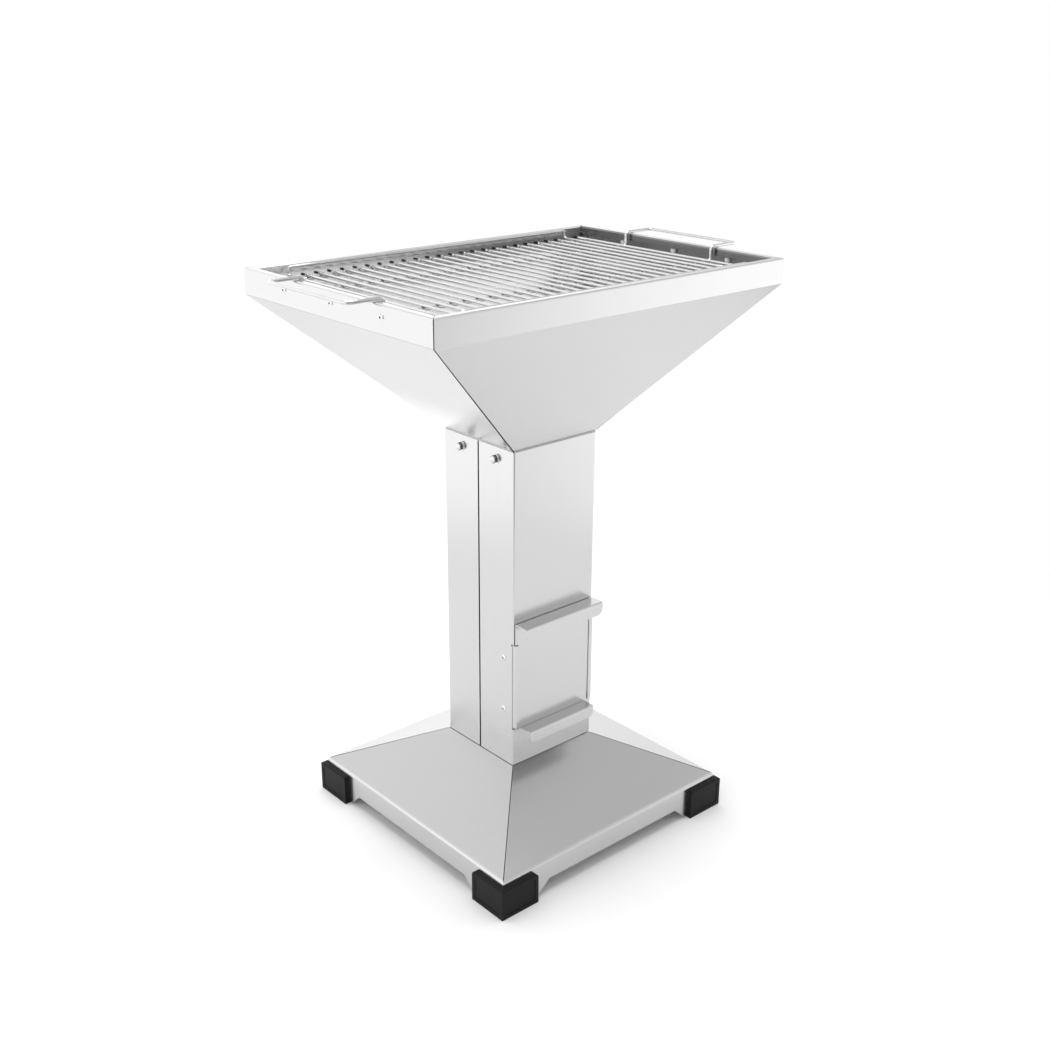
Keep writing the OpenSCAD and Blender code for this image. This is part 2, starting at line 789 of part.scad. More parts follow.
module bowl_right() {
    color("white") bowl_side_wall();
}

module bowl_rear() {
    color("white") rotate([0, 0, 90]) bowl_wall(neck_y, neck_x, rim_y, rim_x);
}

module bowl_front() {
    color("white") rotate([0, 0, -90]) bowl_wall(neck_y, neck_x, rim_y, rim_x);
}

// Solid frustum bounded by the slopes moved inwards by off, between two heights
module frustum(off, low, high) {
    x0 = slope_at(neck_x, rim_x, low, off);
    x1 = slope_at(neck_x, rim_x, high, off);
    y0 = slope_at(neck_y, rim_y, low, off);
    y1 = slope_at(neck_y, rim_y, high, off);
    intersection() {
        wall_x(rim_w) polygon([[-x0, low], [x0, low], [x1, high], [-x1, high]]);
        rotate([0, 0, 90]) wall_x(rim_l) polygon([[-y0, low], [y0, low], [y1, high], [-y1, high]]);
    }
}

// Folded strips welded over the four hip seams from inside
module seam_strips() {
    low = column_top_z + 3 * bowl_bend_r;
    high = rim_low_z - 3 * bowl_bend_r;
    run = norm([rim_x - neck_x, rim_y - neck_y]);
    color("lightgray") intersection() {
        difference() {
            frustum(sheet_t, low, high);
            frustum(2 * sheet_t, low - cut, high + cut);
        }
        for (mx = [0, 1], my = [0, 1]) mirror([mx, 0, 0]) mirror([0, my, 0])
            translate([neck_x, neck_y, low]) rotate([0, 0, hip_angle])
                translate([-sheet_t * 2, -strip_w, 0]) cube([run, 2 * strip_w, high - low]);
    }
}

// Angles welded inside the rim corners, up to the underside of the flange
module corner_angles() {
    low = rim_low_z + 2 * bowl_bend_r + sheet_t;
    color("lightgray") for (mx = [0, 1], my = [0, 1]) mirror([mx, 0, 0]) mirror([0, my, 0])
        translate([rim_x - sheet_t, rim_y - sheet_t, low]) linear_extrude(height = grill_h - rim_lip - low)
            folded([[0, -corner_leg], [0, 0], [-corner_leg, 0]], [sheet_t]);
}

// Places on the short sides of the rim, Z outwards
module rim_screw_places() {
    for (s = [-1, 1], k = [-1, 0, 1])
        translate([s * rim_x, k * rim_screw_pitch, grill_h - rim_screw_drop]) rotate([0, s * 90, 0]) children();
}

module rim_screws() {
    color("silver") rim_screw_places() dome_screw(dome_reach(screw_d, sheet_t));
}

module rim_nuts() {
    color("silver") rim_screw_places() translate([0, 0, -sheet_t]) mirror([0, 0, 1]) dome_nut(screw_d);
}

// Bolts put through from inside the neck, with a washer and a cap nut outside
module neck_bolts() {
    color("silver") neck_bolt_places() translate([0, 0, -2 * sheet_t]) mirror([0, 0, 1])
        hex_bolt(neck_bolt_d, dome_reach(neck_bolt_d, 2 * sheet_t + washer_t));
}

module neck_washers() {
    color("silver") neck_bolt_places() difference() {
        cylinder(d = washer_d, h = washer_t);
        translate([0, 0, -cut]) cylinder(d = neck_bolt_d + 2 * hole_gap, h = washer_t + 2 * cut);
    }
}

module cap_nuts() {
    color("silver") neck_bolt_places() translate([0, 0, washer_t]) dome_nut(neck_bolt_d);
}

// Charcoal grate

module slot() {
    straight = (slot_l - slot_w) / 2;
    square([slot_w, 2 * straight], center = true);
    for (s = [-1, 1]) translate([0, s * straight]) circle(d = slot_w);
}

module charcoal_grate() {
    x = slope_at(neck_x, rim_x, coal_z, sheet_t + run_gap);
    y = slope_at(neck_y, rim_y, coal_z, sheet_t + run_gap);
    // The corners are cut along the strips behind the hip seams
    cx = x - (strip_w + coal_gap) / sin(hip_angle);
    cy = y - (strip_w + coal_gap) / cos(hip_angle);
    color("darkgray") translate([0, 0, coal_z]) linear_extrude(height = coal_t) difference() {
        polygon([[cx, -y], [x, -cy], [x, cy], [cx, y], [-cx, y], [-x, cy], [-x, -cy], [-cx, -y]]);
        for (i = [0:slot_n - 1], j = [-1:1])
            translate([(i - (slot_n - 1) / 2) * slot_pitch_x, j * slot_pitch_y]) slot();
    }
}

module charcoal_loops() {
    foot = coal_z + coal_t;
    crown = foot + loop_h - loop_d / 2;
    half = (loop_w - loop_d) / 2;
    color("silver") for (s = [-1, 1])
        wire([[s * loop_x, -half, foot], [s * loop_x, -half, crown], [s * loop_x, half, crown], [s * loop_x, half, foot]],
             loop_d, [2 * loop_d, 2 * loop_d]);
}

// Cooking grate

module grate_rods() {
    half = rod_l / 2;
    butt = rail_y - rail_foot;
    color("whitesmoke") for (i = [0:rod_n - 1]) {
        // The second rod from each end stops at the feet of the guard rails
        end = i == 1 || i == rod_n - 2 ? butt : half;
        translate([i * rod_pitch - rod_span / 2, end, rod_z]) rotate([90, 0, 0]) cylinder(d = rod_d, h = 2 * end);
    }
}

module bar(l, y) {
    translate([-l / 2, y, bar_z]) rotate([0, 90, 0]) cylinder(d = bar_d, h = l);
}

module grate_bars() {
    color("whitesmoke") for (s = [-1, 1]) {
        bar(2 * bar_end_x, s * bar_y);
        bar(end_bar_l, s * end_bar_y);
    }
}

// Handle over the +X side: it lies on the rim and hooks down to run on as the inner bars
module grate_handle() {
    wire([[bar_end_x, -bar_y, bar_z], [hook_x, -bar_y, bar_z], [hook_x, -bar_y, handle_z],
          [handle_x, -bar_y, handle_z], [handle_x, bar_y, handle_z], [hook_x, bar_y, handle_z],
          [hook_x, bar_y, bar_z], [bar_end_x, bar_y, bar_z]],
         bar_d, [hook_r, hook_r, handle_r, handle_r, hook_r, hook_r]);
}

module grate_handle_left() {
    color("whitesmoke") mirror([1, 0, 0]) grate_handle();
}

module grate_handle_right() {
    color("whitesmoke") grate_handle();
}

// Rail over the rear ends of the rods; its feet turn inwards in line with the second rods
module guard_rail() {
    butt = rail_y - rail_foot;
    wire([[-rail_x, butt, rod_z], [-rail_x, rail_y, rod_z], [-rail_x, rail_y, rail_z],
          [rail_x, rail_y, rail_z], [rail_x, rail_y, rod_z], [rail_x, butt, rod_z]],
         rod_d, [rail_r, rail_r, rail_r, rail_r]);
}

module guard_rail_rear() {
    color("whitesmoke") guard_rail();
}

module guard_rail_front() {
    color("whitesmoke") mirror([0, 1, 0]) guard_rail();
}

base_shell();
foot_cap_front_left();
foot_cap_front_right();
foot_cap_rear_left();
foot_cap_rear_right();
column_front();
column_rear();
foot_bolts();
foot_nuts();
guide_rail_left();
guide_rail_right();
rail_screws();
rail_nuts();
bowl_front();
bowl_rear();
bowl_left();
bowl_right();
seam_strips();
corner_angles();
neck_bolts();
neck_washers();
cap_nuts();
rim_screws();
rim_nuts();
air_slider();
drawer_front();
ash_tray();
charcoal_grate();
charcoal_loops();
grate_rods();
grate_bars();
grate_handle_left();
grate_handle_right();
guard_rail_front();
guard_rail_rear();
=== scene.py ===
"""Charcoal grill of folded stainless sheet, dressed for its studio picture.

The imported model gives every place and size. Sheet parts are merged copies of their solids with
a grain that runs along each panel, wire and fasteners are swept and turned surfaces, and the
corner caps are rounded mouldings.
"""

import logging
import math
from dataclasses import dataclass, field
from enum import Enum
from typing import Any, Sequence

import bmesh
import bpy
from bpy.types import Material, Mesh, NodeSocket, NodeTree, Object
import numpy as np
from mathutils import Matrix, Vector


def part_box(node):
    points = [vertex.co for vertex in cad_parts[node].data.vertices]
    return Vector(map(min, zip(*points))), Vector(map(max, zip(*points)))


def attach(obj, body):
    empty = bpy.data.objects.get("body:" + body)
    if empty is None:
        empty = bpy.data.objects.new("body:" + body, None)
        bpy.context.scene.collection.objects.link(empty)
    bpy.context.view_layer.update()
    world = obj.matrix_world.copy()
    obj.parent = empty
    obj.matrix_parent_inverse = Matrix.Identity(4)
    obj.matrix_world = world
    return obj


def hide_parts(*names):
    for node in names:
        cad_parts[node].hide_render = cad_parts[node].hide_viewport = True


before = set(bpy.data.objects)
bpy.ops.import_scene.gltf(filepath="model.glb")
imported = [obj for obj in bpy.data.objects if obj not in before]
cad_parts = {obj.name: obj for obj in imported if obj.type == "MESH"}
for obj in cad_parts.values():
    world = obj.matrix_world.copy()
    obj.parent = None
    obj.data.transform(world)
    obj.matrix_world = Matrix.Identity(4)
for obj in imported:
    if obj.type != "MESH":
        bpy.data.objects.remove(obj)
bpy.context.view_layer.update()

LOG = logging.getLogger("grill")
MM = 0.001
GRAIN_MAP = "grain"
QUARTERS = ((-1, -1), (-1, 1), (1, -1), (1, 1))
Array = np.ndarray
Pair = tuple[Array, Array]
Triple = tuple[float, float, float]
Shade = Triple
Range = tuple[float, float]


class Axis(Enum):
    """Direction of the rolling grain on a sheet."""

    X = (1.0, 0.0, 0.0)
    Y = (0.0, 1.0, 0.0)
    Z = (0.0, 0.0, 1.0)
    LEVEL = (0.0, 0.0, 0.0)


class Body(Enum):
    """Moving bodies of the grill."""

    STAND = "stand"
    SLIDER = "slider"
    DRAWER = "drawer"
    COAL = "coal_tray"
    GRATE = "cooking_grate"


class Slot(Enum):
    """Material slots of the record."""

    SHEET = "satin_sheet"
    WIRE = "bright_wire"
    FASTENER = "fastener_steel"
    CAP = "cap_plastic"


# Shader building


class Net:
    """Builds the nodes of one material or world."""

    def __init__(self, tree: NodeTree) -> None:
        """Empties the tree.

        Args:
            tree: Node tree that the net fills.
        """
        self.tree = tree
        tree.nodes.clear()

    def add(self, kind: str, settings: dict[str, Any] | None = None, **inputs: Any) -> "Plug | None":
        """Adds one node.

        Args:
            kind: Node type, such as ShaderNodeMath.
            settings: Properties of the node, set first.
            **inputs: Values or plugs by socket name, with _ for a space and i0, i1 for an index.

        Returns:
            The node's first output, if it has one.
        """
        node = self.tree.nodes.new(kind)
        for name, value in (settings or {}).items():
            setattr(node, name, value)
        for name, value in inputs.items():
            index = name[1:].isdigit() and name[0] == "i"
            socket = node.inputs[int(name[1:])] if index else node.inputs[name.replace("_", " ")]
            if isinstance(value, Plug):
                self.tree.links.new(value.socket, socket)
            else:
                socket.default_value = value
        return Plug(self, node.outputs[0]) if len(node.outputs) else None

    def math(self, operation: str, *values: Any, kind: str = "ShaderNodeMath") -> "Plug":
        """Adds a Math node, or one of another kind, of an operation on one to three values."""
        inputs = {f"i{i}": value for i, value in enumerate(values)}
        return self.add(kind, {"operation": operation}, **inputs)

    def vector(self, operation: str, *values: Any) -> "Plug":
        """Adds a Vector Math node of an operation on one or two vectors."""
        return self.math(operation, *values, kind="ShaderNodeVectorMath")

    def step(self, value: Any, start: float, end: float) -> "Plug":
        """Smooth step from 0 at start to 1 at end."""
        return self.add("ShaderNodeMapRange", {"interpolation_type": "SMOOTHSTEP"},
                        Value=value, From_Min=start, From_Max=end)

    def noise(self, place: "Plug", scale: float, detail: float) -> "Plug":
        """Noise over a place."""
        return self.add("ShaderNodeTexNoise", None, Vector=place, Scale=scale, Detail=detail)

    def bump(self, height: "Plug", depth: float, **normal: "Plug") -> "Plug":
        """Bump of a depth, laid over Normal if that is given."""
        return self.add("ShaderNodeBump", None, Strength=1.0, Distance=depth, Height=height, **normal)

    def surface(self, kind: str, **inputs: Any) -> None:
        """Adds a shader and joins it to the output of the material."""
        self.add("ShaderNodeOutputMaterial", None, Surface=self.add(kind, None, **inputs))

    def mix_colour(self, factor: Any, low: Any, high: Any) -> "Plug":
        """Blends two colours.

        Args:
            factor: Value or plug from 0 to 1.
            low: Colour at 0, as three numbers or a plug.
            high: Colour at 1, likewise.

        Returns:
            The blended colour.
        """
        low, high = (shade if isinstance(shade, Plug) else (*shade, 1.0) for shade in (low, high))
        mixed = self.add("ShaderNodeMix", {"data_type": "RGBA"}, i0=factor, i6=low, i7=high)
        return Plug(self, mixed.socket.node.outputs[2])


@dataclass(frozen=True)
class Plug:
    """An output socket that takes part in Python expressions."""

    net: Net
    socket: NodeSocket

    def out(self, name: str) -> "Plug":
        """Another output of the same node."""
        return Plug(self.net, self.socket.node.outputs[name])

    def part(self, axis: str) -> "Plug":
        """One part of a vector: X, Y or Z."""
        return self.net.add("ShaderNodeSeparateXYZ", None, Vector=self).out(axis)

    def __add__(self, other: Any) -> "Plug":
        """Sum."""
        return self.net.math("ADD", self, other)

    __radd__ = __add__

    def __sub__(self, other: Any) -> "Plug":
        """Difference."""
        return self.net.math("SUBTRACT", self, other)

    def __rsub__(self, other: Any) -> "Plug":
        """Difference with the plug second."""
        return self.net.math("SUBTRACT", other, self)

    def __mul__(self, other: Any) -> "Plug":
        """Product."""
        return self.net.math("MULTIPLY", self, other)

    __rmul__ = __mul__


# Finishes


def new_material(name: str) -> tuple[Material, Net]:
    """Makes a node material.

    Args:
        name: Name of the material.

    Returns:
        The material and its empty net.
    """
    material = bpy.data.materials.new(name)
    material.use_nodes = True
    return material, Net(material.node_tree)


def grey(level: float) -> Shade:
    """Colour with three equal parts."""
    return level, level, level


@dataclass(frozen=True)
class SheetFinish:
    """Bright rolled stainless sheet with a fine grain along its map's first axis.

    A Range gives the start and the end of a smooth step.
    """

    name: str = "satin_sheet"
    dark: Shade = (0.62, 0.62, 0.622)
    light: Shade = (0.65, 0.65, 0.652)
    roughness: float = 0.24
    # Inner faces get the inner tone: painted light where it is lighter than the outer sheet, painted shade
    # where it is darker.
    inner: float = 0.93
    # Painted shade on the +X inner wall of the bowl and in the band under the lip; the ranges below place it.
    painted_shade_tone: float = 0.2
    # Lighter tone of the outer side walls near the neck: a painted reflection.
    clear: float = 0.86
    # Near-black painted shade for faces below a given height.
    covered_shade: float = 0.05
    inside: Range = (2 * MM, 12 * MM)
    side_lean: Range = (0.3, 0.5)
    shade_x: Range = (110 * MM, 270 * MM)
    shade_foot: Range = (640 * MM, 648 * MM)
    shade_band: Range = (806 * MM, 814 * MM)
    shade_lip: Range = (836 * MM, 838 * MM)
    wall_share: float = 0.8
    band_share: float = 0.2
    lip_share: float = 0.05
    reflection_z: Range = (690 * MM, 612 * MM)
    reflection_neck: Range = (608 * MM, 609 * MM)
    covered_below_z: float = -1.0
    grain_length: float = 45 * MM
    grain_width: float = 0.32 * MM
    grain_depth: float = 0.0016 * MM
    band_length: float = 420 * MM
    band_width: float = 9 * MM
    wave_length: float = 190 * MM
    wave_depth: float = 0.35 * MM
    grain_rough: float = 0.05
    band_rough: float = 0.015
    smudge_rough: float = 0.03

    def build(self) -> Material:
        """Makes the material.

        The grain is noise stretched along the rolling direction. A broader noise of the same
        kind makes faint bands, and a slow noise over the object makes the sheet slightly wavy.

        Returns:
            The material.
        """
        material, net = new_material(self.name)
        grain_uv = net.add("ShaderNodeUVMap", {"uv_map": GRAIN_MAP})
        fine = self.stretched(net, grain_uv, self.grain_length, self.grain_width, 3.0)
        bands = self.stretched(net, grain_uv, self.band_length, self.band_width, 2.0)
        place = net.add("ShaderNodeTexCoord").out("Object")
        smudge = net.noise(place, 4 / self.wave_length, 4.0)
        waves = net.bump(net.noise(place, 1 / self.wave_length, 1.0), self.wave_depth)
        rough = self.roughness + (fine - 0.5) * self.grain_rough
        rough = rough + (bands - 0.5) * self.band_rough + (smudge - 0.5) * self.smudge_rough
        shade = (fine - 0.5) * 0.5 + (bands - 0.5) * 0.5 + 0.5
        net.surface("ShaderNodeBsdfPrincipled", Base_Color=self.colour(net, place, shade), Metallic=1.0,
                    Roughness=rough, Normal=net.bump(fine, self.grain_depth, Normal=waves))
        return material

    def colour(self, net: Net, place: Plug, shade: Plug) -> Plug:
        """Base colour of the sheet.

        Faces that look at the middle, where n p < 0 in plan, have the inner tone: painted light
        where it is lighter than the outer sheet, painted shade where it is darker. Inside the bowl
        they get painted shade on the +X wall and, less so, in the band under the lip of the rim.
        The outer side walls get a lighter tone towards the neck, a painted reflection, and all
        faces below the given height get near-black painted shade.

        Args:
            net: Net of the material.
            place: Object coordinates.
            shade: Share of the light shade on outer faces.

        Returns:
            The colour.
        """
        facing = net.add("ShaderNodeNewGeometry").out("True Normal")
        plan = net.vector("MULTIPLY", place, (1.0, 1.0, 0.0))
        outwards = net.vector("DOT_PRODUCT", plan, facing).out("Value")
        high = place.part("Z")
        side = net.step(net.math("ABSOLUTE", facing.part("X")), *self.side_lean)
        # Painted shade: darkens the +X inner wall and the band under the lip.
        shade_share = net.step(place.part("X"), *self.shade_x) * side * self.wall_share
        shade_share = shade_share + net.step(high, *self.shade_band) * self.band_share
        shade_share = shade_share * net.step(high, *self.shade_foot)
        shade_share = shade_share * (1.0 - net.step(high, *self.shade_lip) * self.lip_share)
        # Inner tone of faces that look at the middle: painted light on the sheets, painted shade in the
        # column.
        bowl = net.mix_colour(shade_share, grey(self.inner), grey(self.painted_shade_tone))
        # Painted reflection: lightens the outer side walls towards the neck.
        painted_reflection = net.step(high, *self.reflection_z) * side * net.step(high, *self.reflection_neck)
        outer = net.mix_colour(painted_reflection, net.mix_colour(shade, self.dark, self.light), grey(self.clear))
        skin = net.mix_colour(net.step(outwards * -1.0, *self.inside), outer, bowl)
        # Painted shade: faces below the given height turn near-black.
        under = net.step(high, self.covered_below_z, self.covered_below_z - MM)
        return net.mix_colour(under, skin, grey(self.covered_shade))

    @staticmethod
    def stretched(net: Net, uv: Plug, length: float, width: float, detail: float) -> Plug:
        """Noise whose spots are length long and width wide on the grain map."""
        scaled = net.add("ShaderNodeMapping", {"vector_type": "POINT"}, Vector=uv,
                         Scale=(1 / length, 1 / width, 1.0))
        return net.add("ShaderNodeTexNoise", {"noise_dimensions": "2D"}, Vector=scaled, Scale=1.0,
                       Detail=detail)


@dataclass(frozen=True)
class BrightFinish:
    """Electropolished or turned stainless steel on wire, fasteners and weld metal."""

    name: str
    dark: Shade
    light: Shade
    roughness: float
    spot: float = 1.4 * MM
    dent: float = 0.006 * MM
    far_from: float = 10.0
    far_axis: str = "Y"
    painted_far_tone: Shade = (0.03, 0.03, 0.03)
    metal: float = 1.0

    def build(self) -> Material:
        """Makes the material: noise varies the roughness, the shade and a shallow bump.

        Past far_from along the far axis the shade changes: the stubs behind the outer welds get
        near-black painted shade, and the domes of the cap nuts get a painted highlight over flats
        that are painted dark as painted shade.

        Returns:
            The material.
        """
        material, net = new_material(self.name)
        place = net.add("ShaderNodeTexCoord").out("Object")
        spots = net.noise(place, 1 / self.spot, 3.0)
        tarnish = net.noise(place, 0.12 / self.spot, 2.0)
        far = net.step(net.math("ABSOLUTE", place.part(self.far_axis)), self.far_from, self.far_from + 2 * MM)
        near = net.mix_colour(tarnish, self.dark, self.light)
        net.surface("ShaderNodeBsdfPrincipled", Base_Color=net.mix_colour(far, near, self.painted_far_tone),
                    Metallic=self.metal, Normal=net.bump(spots, self.dent),
                    Roughness=self.roughness + (spots - 0.5) * 0.08 + (tarnish - 0.5) * 0.05)
        return material


@dataclass(frozen=True)
class PlasticFinish:
    """Black moulded plastic with an eroded mould texture."""

    name: str = "cap_plastic"
    dark: Shade = (0.006, 0.006, 0.0063)
    light: Shade = (0.01, 0.01, 0.0105)
    roughness: float = 0.5
    specular: float = 0.18
    pit: float = 0.7 * MM
    pit_depth: float = 0.035 * MM

    def build(self) -> Material:
        """Makes the material: Voronoi pits and noise roughen a dark, slightly glossy plastic.

        Returns:
            The material.
        """
        material, net = new_material(self.name)
        place = net.add("ShaderNodeTexCoord").out("Object")
        pits = net.add("ShaderNodeTexVoronoi", {"feature": "SMOOTH_F1"}, Vector=place, Scale=1 / self.pit)
        cloud = net.noise(place, 0.08 / self.pit, 5.0)
        net.surface("ShaderNodeBsdfPrincipled", Base_Color=net.mix_colour(cloud, self.dark, self.light),
                    Specular_IOR_Level=self.specular, Normal=net.bump(pits, self.pit_depth),
                    Roughness=self.roughness + (cloud - 0.5) * 0.16 + (pits - 0.5) * 0.06)
        return material


SHEET = SheetFinish().build()
# The column's faces that look at the middle are near-black: painted shade.
COLUMN = SheetFinish("column_sheet", inner=0.05, painted_shade_tone=0.05).build()
# The bowl's neck inside the column gets near-black painted shade.
BOWL = SheetFinish("bowl_sheet", covered_below_z=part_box("column_front")[1].z - 0.5 * MM).build()
# Seam strips and corner angles are near-black: painted shade seen through the seams.
SEAM_SHADE = SheetFinish("seam_shade_sheet", grey(0.05), grey(0.1), 0.4).build()
WIRE = BrightFinish("bright_wire", grey(0.6), grey(0.7), 0.1, 2.2 * MM, 0.02 * MM).build()
# Rod ends past the outer welds are near-black: painted shade.
RODS = BrightFinish("rod_wire", grey(0.69), grey(0.77), 0.12, 2.2 * MM, 0.02 * MM, 176 * MM).build()
FASTENER = BrightFinish("fastener_steel", grey(0.78), grey(0.86), 0.12).build()
# Neck cap nuts: the dark flats are painted shade, and the lighter domes are a painted highlight.
DOME = BrightFinish("dome_nut", grey(0.1), grey(0.16), 0.08, far_from=82.6 * MM, far_axis="X",
                    painted_far_tone=grey(0.66)).build()
# Near-black fill for seams and socket recesses: painted shade.
SHADE_FILL = BrightFinish("painted_shade_fill", grey(0.02), grey(0.04), 0.5).build()
# Rim cap nuts are painted near-white and non-metal: a painted highlight.
NUT_GLINT = BrightFinish("painted_glint_nut", grey(0.96), grey(0.98), 0.6, metal=0.0).build()
# Weld metal is near-black: painted shade at each crossing of rod and bar, which the other welds share.
WELD = BrightFinish("weld_painted_shade", grey(0.02), (0.2, 0.195, 0.19), 0.3, 0.9 * MM, 0.09 * MM).build()
PLASTIC = PlasticFinish().build()


# Meshes


def make_piece(name: str, points: Array, faces: Array, *mount: Any) -> Object:
    """Puts arrays of points and faces into a new piece.

    Args:
        name: Name of the piece.
        points: Points, shape (n, 3), in metres.
        faces: Quads, shape (m, 4); a repeated index makes a triangle.
        *mount: Finish, body, slot and sharp angle, as finish_piece takes them.

    Returns:
        The new object.
    """
    mesh = bpy.data.meshes.new(name)
    mesh.from_pydata(points.reshape(-1, 3).tolist(), [], faces.reshape(-1, 4).tolist())
    clean = bmesh.new()
    clean.from_mesh(mesh)
    bmesh.ops.remove_doubles(clean, verts=clean.verts, dist=0.002 * MM)
    bmesh.ops.recalc_face_normals(clean, faces=clean.faces)
    clean.to_mesh(mesh)
    clean.free()
    return finish_piece(name, mesh, *mount)


def finish_piece(name: str, mesh: Mesh, material: Material, body: Body, slot: Slot,
                 sharp: float = 35.0) -> Object:
    """Shades, dresses and mounts a mesh.

    Args:
        name: Name of the piece.
        mesh: Its mesh, in place.
        material: Finish of the piece.
        body: Body it rides on.
        slot: Slot of the record it belongs to; not used.
        sharp: Angle in degrees past which an edge stays sharp.

    Returns:
        The new object.
    """
    mesh.shade_smooth()
    mesh.set_sharp_from_angle(angle=math.radians(sharp))
    mesh.materials.clear()
    mesh.materials.append(material)
    piece = bpy.data.objects.new(name, mesh)
    bpy.context.scene.collection.objects.link(piece)
    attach(piece, body.value)
    LOG.info("%s: %d faces on %s", name, len(mesh.polygons), body.value)
    return piece


def grid_faces(rows: int, columns: int) -> Array:
    """Quads of a grid that is closed round its columns.

    Args:
        rows: Number of rows.
        columns: Points in each row.

    Returns:
        Faces, shape (m, 4).
    """
    i, j = np.meshgrid(np.arange(rows - 1) * columns, np.arange(columns), indexing="ij")
    k = (j + 1) % columns
    return np.stack([i + j, i + k, i + columns + k, i + columns + j], axis=-1).reshape(-1, 4)


def repeated(shape: Array, faces: Array, frames: Array) -> Pair:
    """Copies one shape into several frames.

    Args:
        shape: Points, shape (n, 3).
        faces: Quads, shape (m, 4).
        frames: Rigid frames, shape (k, 4, 4).

    Returns:
        All points and all faces.
    """
    flat = shape.reshape(-1, 3)
    placed = np.einsum("kij,nj->kni", frames[:, :3, :3], flat) + frames[:, None, :3, 3]
    steps = np.arange(len(frames))[:, None, None] * len(flat)
    return placed.reshape(-1, 3), (faces[None] + steps).reshape(-1, 4)


def frames_along(places: Array, direction: Array) -> Array:
    """Rigid frames at places whose third axis follows direction and whose first is level.

    Args:
        places: Points, shape (k, 3).
        direction: Directions, shape (k, 3).

    Returns:
        Frames, shape (k, 4, 4).
    """
    z = direction / np.linalg.norm(direction, axis=1, keepdims=True)
    helper = np.where(np.abs(z[:, 2:]) > 0.9, [[1.0, 0.0, 0.0]], [[0.0, 0.0, 1.0]])
    x = np.cross(helper, z)
    x /= np.linalg.norm(x, axis=1, keepdims=True)
    frames = np.tile(np.eye(4), (len(z), 1, 1))
    frames[:, :3, :] = np.stack([x, np.cross(z, x), z, places], axis=-1)
    return frames


def bent_path(corners: Sequence[Sequence[float]], radii: Sequence[float], steps: int = 8) -> Array:
    """Path along corners that are bent to arcs.

    At a corner p with directions u in and v out and turn a, the arc of radius r starts at
    p - u r tan(a/2), has its centre c at distance r from both lines, and runs through
    c - w r cos t + u r sin t, where w is the unit vector from the start towards c.

    Args:
        corners: Corner points with both ends.
        radii: Radius at each inner corner.
        steps: Parts of each arc.

    Returns:
        Points, shape (n, 3).
    """
    points = np.asarray(corners, float)
    runs = np.diff(points, axis=0)
    runs /= np.linalg.norm(runs, axis=1, keepdims=True)
    pieces = [points[:1]]
    for p, u, v, r in zip(points[1:-1], runs[:-1], runs[1:], radii):
        turn = math.acos(float(np.clip(u @ v, -1, 1)))
        w = v - u * (u @ v)
        w /= np.linalg.norm(w)
        centre = p - u * r * math.tan(turn / 2) + w * r
        t = np.linspace(0, turn, steps + 1)[:, None]
        pieces.append(centre - w * r * np.cos(t) + u * r * np.sin(t))
    pieces.append(points[-1:])
    return np.concatenate(pieces)


def swept_wire(path: Array, radius: float, sides: int = 16, rounded: bool = True) -> Pair:
    """Round wire along a path.

    With tangent t and the fixed vector k = (1, 1, 1), which no run of these wires follows, the
    ring at p is p + r (cos a n + sin a (t x n)), where n is t x k made unit. The end rings
    shrink as a quarter ellipse, so the ends are rounded.

    Args:
        path: Points, shape (n, 3).
        radius: Radius of the wire.
        sides: Points round the wire.
        rounded: Whether the ends are rounded; otherwise they stay flat.

    Returns:
        Points and faces.
    """
    tangent = np.gradient(path, axis=0)
    tangent[0], tangent[-1] = path[1] - path[0], path[-1] - path[-2]
    tangent /= np.linalg.norm(tangent, axis=1, keepdims=True)
    t = np.linspace(0, math.pi / 2, 5)[:, None]
    rise = radius * (0.6 if rounded else 0.05) * (1 - np.cos(t))
    rings = np.concatenate([path[0] + tangent[0] * rise, path[1:-1],
                            (path[-1] - tangent[-1] * rise)[::-1]])
    along = np.concatenate([np.tile(tangent[0], (len(t), 1)), tangent[1:-1],
                            np.tile(tangent[-1], (len(t), 1))])
    scale = np.concatenate([np.sin(t), np.ones((len(path) - 2, 1)), np.sin(t)[::-1]])
    normal = np.cross(along, np.ones(3))
    normal /= np.linalg.norm(normal, axis=1, keepdims=True)
    side = np.cross(along, normal)
    a = np.linspace(0, 2 * math.pi, sides, endpoint=False)
    circle = normal[:, None] * np.cos(a)[None, :, None] + side[:, None] * np.sin(a)[None, :, None]
    shape = rings[:, None] + circle * (radius * scale)[:, None]
    return shape.reshape(-1, 3), grid_faces(len(rings), sides)


def joined(parts: Sequence[Pair]) -> Pair:
    """Joins several points and faces into one pair."""
    steps = np.cumsum([0] + [len(points) for points, _ in parts[:-1]])
    return (np.concatenate([points for points, _ in parts]),
            np.concatenate([faces + step for (_, faces), step in zip(parts, steps)]))


def turned(rows: Sequence[tuple[float, float, float]], sides: int = 48) -> Pair:
    """Surface that is round or hexagonal from row to row.

    A row (r, w, z) has the radius min(r, w / cos b) at the angle a, where b is a folded into
    -30 to 30 degrees, so w is half the width across flats.

    Args:
        rows: Round radius, half width across flats, and height of each row.
        sides: Points round the surface.

    Returns:
        Points and faces.
    """
    table = np.asarray(rows, float)
    a = np.linspace(0, 2 * math.pi, sides, endpoint=False)
    fold = np.mod(a + math.pi / 6, math.pi / 3) - math.pi / 6
    radius = np.minimum(table[:, :1], table[:, 1:2] / np.cos(fold)[None])
    height = np.broadcast_to(table[:, 2:], radius.shape)
    shape = np.stack([radius * np.cos(a), radius * np.sin(a), height], axis=-1)
    return shape.reshape(-1, 3), grid_faces(len(table), sides)


